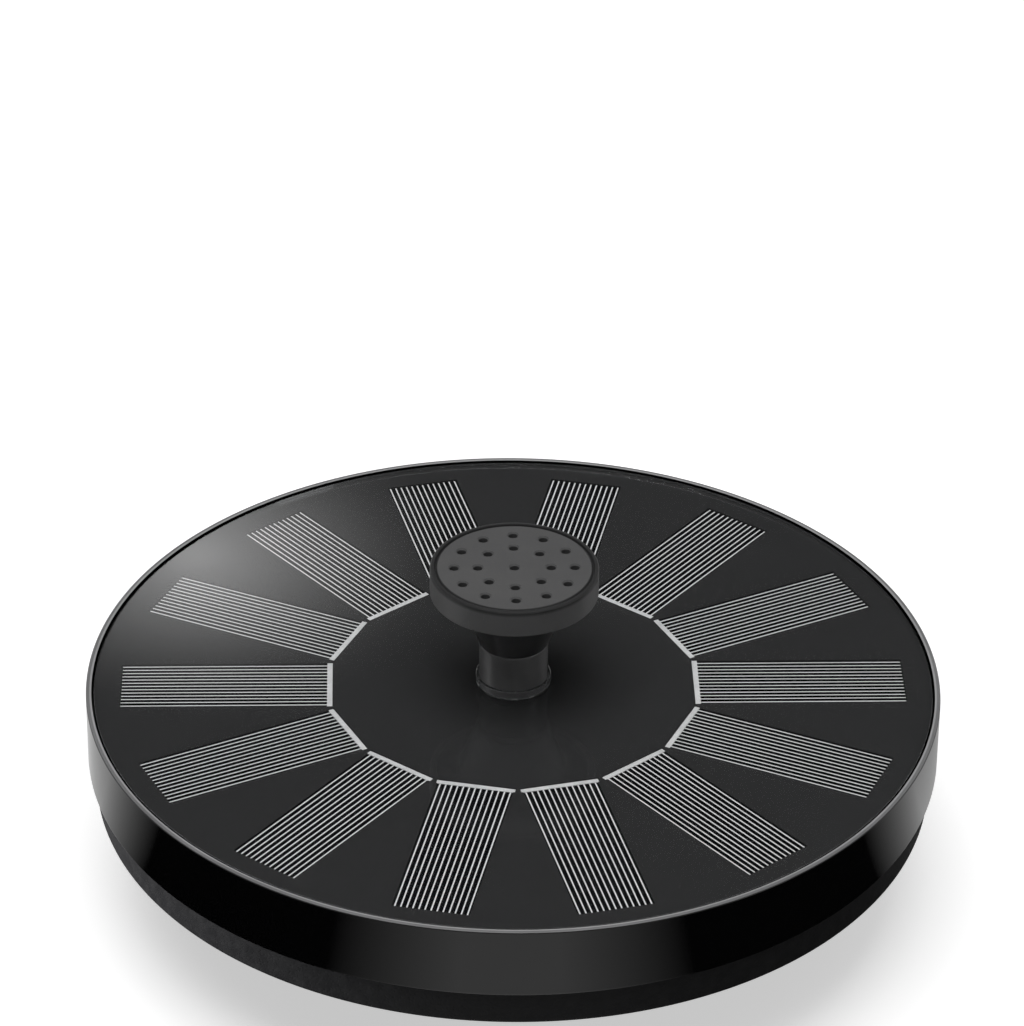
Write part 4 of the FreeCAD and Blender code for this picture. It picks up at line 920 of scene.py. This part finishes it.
def threadMesh(bm, low, high, turns=24, steps=14):
    # one helical crest round the shank, run out to a blunt tip
    rings = []
    count = int((high - low) / screw["pitch"] * steps)
    for row in range(count + 1):
        z = low + (high - low) * row / count
        fade = min(1.0, (high - z) / screw["runOut"])
        ring = []
        for k in range(turns):
            phase = ((z - low) / screw["pitch"] - k / turns) % 1.0
            height = min(1.0, max(0.0, 1.25 - abs(phase - 0.5) * 3.6))
            radius = screw["root"] * (0.55 + 0.45 * fade) + (screw["crest"] - screw["root"]) * height * fade
            ring.append(bm.verts.new((*polar(radius, 2 * math.pi * k / turns), z)))
        rings.append(ring)
    for one, two in zip(rings, rings[1:]):
        joinLoops(bm, one, two)
    bm.faces.new(rings[-1])
    bm.faces.new(list(reversed(rings[0])))


def buildScrews(node, name, circle, count):
    low, high = bottom(node), top(node)
    seat, wide = low + screw["headHeight"], screw["head"]
    head = turned("screwHead", roundCorners([(0, low, 0), (wide * 0.62, low, 0.9), (wide, seat - 0.45, 0.3),
                                             (wide, seat, 0.1), (0, seat, 0)], 5), 40)
    carve(head, crossTool((0, 0), screw["slotReach"], screw["slot"], low - 0.5, low + screw["slotDepth"]))
    shank = bmesh.new()
    threadMesh(shank, seat - 0.2, high)
    carve(head, finishMesh(shank, "shank"), "UNION")
    ring = bmesh.new()
    for k in range(count):
        angle = math.radians(180 / count + 360 * k / count)
        before = set(ring.verts)
        ring.from_mesh(head.data)
        mine = [v for v in ring.verts if v not in before]
        for v in mine:
            v.co /= mm
        bmesh.ops.rotate(ring, verts=mine, cent=(0, 0, 0), matrix=Matrix.Rotation(angle + k, 3, "Z"))
        bmesh.ops.translate(ring, verts=mine, vec=(*polar(circle, angle), 0))
    bpy.data.objects.remove(head)
    place(finishMesh(ring, name, 40), "float_unit", bpy.data.materials["stainlessSteel"], "stainless_steel", node)


buildCapacitor()
buildChip()
buildSmallParts()
buildScrews("housing_screws", "housingScrews", screwCircle, 4)
buildScrews("cover_screws", "coverScrews", -leastX("cover_screws") - screw["head"], 3)
print("driver parts and screws made")

# floor, light and camera

studio = {"floorHalf": 3.0, "floorColour": 0.82, "floorGlow": 0.55, "floorFade": (0.35, 0.9), "glossGlow": 0.1,
          "zenith": 0.6, "zenithBand": (0.64, 0.95), "horizon": 1.0, "horizonBand": (0.34, 0.12), "dim": 0.014,
          "swing": -1.8}
# a soft patch of light behind, for the sheen across the front
glow = {"centre": (-0.155, 1.30, 0.84), "normal": (0.05, -0.83, -0.55), "half": (0.13, 0.08), "strength": 3.6}
# dark flags on both sides, as angles from the front, and a thin veil behind them on the right
flags = {"half": 0.6, "height": 0.0005, "colour": 0.002, "inner": 33.0, "soft": 24.0, "outer": 76.0, "fade": 21.0,
         "veilStart": 96.0, "veilFull": 112.0, "veil": 0.36, "veilEdge": 0.04}
lamps = {
    # place, aim, width and height, power, seen in reflections
    "keySoftbox": ((-0.2, -0.3, 2.2), (0, 0.1, 0.04), (1.8, 1.8), 34.0, False),
    "leftSoftbox": ((-0.9, 0.1, 0.1), (0, 0, 0.03), (0.5, 0.3), 46.0, False),
    "rightSoftbox": ((1.2, -0.6, 0.5), (0, 0, 0.05), (0.4, 0.8), 0.8, True),
}
# weak strips that light only the satin nozzle and the riser: azimuth, elevation, width, height, power
nozzleStrips = {"pieces": ("sprayCap", "nozzleCup", "riserTube"), "middle": (0, 0, 0.062), "distance": 0.8,
                "lamps": ((-95, -33, 0.26, 0.35, 0.5), (127, -33, 0.2, 0.35, 0.2))}
eye = {"elevation": 33.69, "distance": 0.9579, "focal": 5103.7, "centre": (513.3, 678.4), "roll": 0.616,
       "frame": (1024, 1026), "sensor": 36}


def seenRays(tree, *rays):
    # one where the ray is any of the named kinds
    path = tree.nodes.new("ShaderNodeLightPath").outputs
    seen = path[rays[0]]
    for ray in rays[1:]:
        seen = mathNode(tree, "MAXIMUM", seen, path[ray])
    return seen


def sheet(name, halfWide, halfHigh, material):
    # a level rectangle that belongs to the studio
    mesh = bpy.data.meshes.new(name)
    corners = [(halfWide * x, halfHigh * y, 0) for x, y in ((-1, -1), (1, -1), (1, 1), (-1, 1))]
    mesh.from_pydata(corners, [], [(0, 1, 2, 3)])
    mesh.materials.append(material)
    piece = bpy.data.objects.new(name, mesh)
    scene.collection.objects.link(piece)
    return piece


def buildFloor():
    finish = Finish("floorPaper", (studio["floorColour"],) * 3, 0.8, Specular_IOR_Level=0.2)
    tree = finish.tree
    # the far floor fades to plain white, so no horizon shows
    far = product(tree, rampNode(tree, lengthNode(tree, objectCoords(tree)), *studio["floorFade"]),
                  1 - studio["floorGlow"])
    seen = product(tree, seenRays(tree, "Is Camera Ray", "Is Transmission Ray"),
                   mathNode(tree, "ADD", far, studio["floorGlow"]))
    shine = product(tree, seenRays(tree, "Is Glossy Ray"), studio["glossGlow"])
    finish.shader.inputs["Emission Color"].default_value = (1, 1, 1, 1)
    tree.links.new(mathNode(tree, "MAXIMUM", seen, shine), finish.shader.inputs["Emission Strength"])
    sheet("studioFloor", studio["floorHalf"], studio["floorHalf"], finish.material)


def buildWorld():
    # white at the horizon, dim above it so that the glossy front stays dark, and bright overhead
    world = bpy.data.worlds.new("studioWorld")
    scene.world = world
    world.use_nodes = True
    tree = world.node_tree
    background = tree.nodes["Background"]
    height = splitNode(tree, tree.nodes.new("ShaderNodeTexCoord").outputs["Generated"])["Z"]
    lift = product(tree, rampNode(tree, height, *studio["zenithBand"]), studio["zenith"])
    edge = product(tree, rampNode(tree, height, *studio["horizonBand"]), studio["horizon"],
                   seenRays(tree, "Is Glossy Ray", "Is Transmission Ray"))
    level = mathNode(tree, "ADD", mathNode(tree, "MAXIMUM", lift, edge), studio["dim"])
    strength = mathNode(tree, "MAXIMUM", level, seenRays(tree, "Is Camera Ray"))
    tree.links.new(strength, background.inputs["Strength"])
    background.inputs["Color"].default_value = (1, 1, 1, 1)


def softbox(name, spot, aim, size, power, reflected=True):
    lamp = bpy.data.lights.new(name, "AREA")
    lamp.shape = "RECTANGLE"
    lamp.size, lamp.size_y = size
    lamp.energy = power
    box = bpy.data.objects.new(name, lamp)
    scene.collection.objects.link(box)
    box.location = spot
    box.rotation_euler = (Vector(aim) - Vector(spot)).to_track_quat("-Z", "Y").to_euler()
    box.visible_camera = False
    box.visible_glossy = reflected
    return box


def gather(name, pieces):
    group = bpy.data.collections.new(name)
    for piece in pieces:
        group.objects.link(scene.objects[piece])
    return group


def buildLamps():
    boxes = {name: softbox(name, *settings) for name, settings in lamps.items()}
    # the left lamp shows the foam band, which nothing else reaches
    boxes["leftSoftbox"].light_linking.receiver_collection = gather("sideLit", ["foamFloat"])
    receivers, blockers = [gather(name, nozzleStrips["pieces"]) for name in ("nozzleLit", "nozzleShade")]
    middle = Vector(nozzleStrips["middle"])
    for k, (azimuth, elevation, width, height, power) in enumerate(nozzleStrips["lamps"]):
        turn, tilt = math.radians(azimuth), math.radians(elevation)
        away = Vector((math.sin(turn) * math.cos(tilt), -math.cos(turn) * math.cos(tilt), math.sin(tilt)))
        spot = middle + away * nozzleStrips["distance"]
        strip = softbox(f"nozzleStrip{k + 1}", spot, middle, (width, height), power)
        strip.light_linking.receiver_collection = receivers
        strip.light_linking.blocker_collection = blockers


def buildCard(name, half, shader):
    # a card that glossy surfaces see and nothing else does
    material = bpy.data.materials.new(name)
    material.use_nodes = True
    tree = material.node_tree
    tree.nodes.clear()
    addNode(tree, "OutputMaterial", {"Surface": shader(tree)})
    card = sheet(name, *half, material)
    for ray in ("camera", "diffuse", "shadow", "transmission"):
        setattr(card, "visible_" + ray, False)
    return card


def glowShader(tree):
    scale = (1 / glow["half"][0], 1 / glow["half"][1], 1)
    mapping = addNode(tree, "Mapping", {"Vector": objectCoords(tree), "Scale": scale})
    ball = addNode(tree, "TexGradient", {"Vector": mapping.outputs["Vector"]}, gradient_type="QUADRATIC_SPHERE")
    light = addNode(tree, "Emission", {"Strength": product(tree, ball.outputs["Fac"], glow["strength"])})
    clear = addNode(tree, "BsdfTransparent", {})
    return addNode(tree, "AddShader", {0: light.outputs[0], 1: clear.outputs[0]}).outputs[0]


def flagShader(tree):
    # dark from both flanks, clear in front, and half clear behind on the right
    where = splitNode(tree, objectCoords(tree))
    aside = mathNode(tree, "ABSOLUTE", where["X"])
    angle = mathNode(tree, "DEGREES", mathNode(tree, "ARCTAN2", aside, product(tree, where["Y"], -1.0)))
    rise = rampNode(tree, angle, flags["inner"] - flags["soft"], flags["inner"])
    fall = rampNode(tree, angle, flags["outer"] + flags["fade"], flags["outer"])
    veil = product(tree, rampNode(tree, angle, flags["veilStart"], flags["veilFull"]),
                   rampNode(tree, where["X"], 0.0, flags["veilEdge"]), flags["veil"])
    cover = mathNode(tree, "MAXIMUM", product(tree, rise, fall), veil)
    dark = addNode(tree, "BsdfDiffuse", {"Color": (*(flags["colour"],) * 3, 1)}).outputs[0]
    clear = addNode(tree, "BsdfTransparent", {}).outputs[0]
    return addNode(tree, "MixShader", {"Fac": cover, 1: clear, 2: dark}).outputs[0]


def basis(side, high, back, spot):
    # the matrix of an object with these axes at this spot
    return Matrix((*[(side[k], high[k], back[k], spot[k]) for k in range(3)], (0, 0, 0, 1)))


def buildCards():
    card = buildCard("glowCard", glow["half"], glowShader)
    normal = Vector(glow["normal"]).normalized()
    upward = normal.cross(Vector((1, 0, 0))).normalized()
    if upward.z < 0:
        upward = -upward
    card.matrix_world = basis(upward.cross(normal), upward, normal, glow["centre"])
    buildCard("sideFlags", (flags["half"], flags["half"]), flagShader).location.z = flags["height"]


def buildCamera():
    target = Vector((0, 0, rimTop * mm))
    tilt = math.radians(eye["elevation"])
    spot = target + eye["distance"] * Vector((0, -math.cos(tilt), math.sin(tilt)))
    data = bpy.data.cameras.new("camera")
    data.lens = eye["focal"] * eye["sensor"] / eye["frame"][1]
    data.sensor_width = eye["sensor"]
    camera = bpy.data.objects.new("camera", data)
    scene.collection.objects.link(camera)
    right, back = Vector((1, 0, 0)), (spot - target).normalized()
    roll = Matrix.Rotation(math.radians(eye["roll"]), 3, back)
    right, up = roll @ right, roll @ back.cross(right)
    # the aim moves off the target, so that the target falls on its place in the picture
    offsetX, offsetY = [(eye["centre"][k] - eye["frame"][k] / 2) / eye["focal"] for k in (0, 1)]
    aim = target - right * offsetX * eye["distance"] + up * offsetY * eye["distance"]
    forward = (aim - spot).normalized()
    side = forward.cross(up).normalized()
    camera.matrix_world = basis(side, side.cross(forward), -forward, spot)
    scene.camera = camera


def swingStudio():
    # camera, lamps and cards go round the object together
    bpy.context.view_layer.update()
    swing = Matrix.Rotation(math.radians(studio["swing"]), 4, "Z")
    for piece in scene.objects:
        if piece.type in ("LIGHT", "CAMERA") or piece.name in ("glowCard", "sideFlags"):
            piece.matrix_world = swing @ piece.matrix_world


buildFloor()
buildWorld()
buildCards()
buildLamps()
buildCamera()
swingStudio()
scene.view_settings.view_transform = "Standard"
print("studio made")
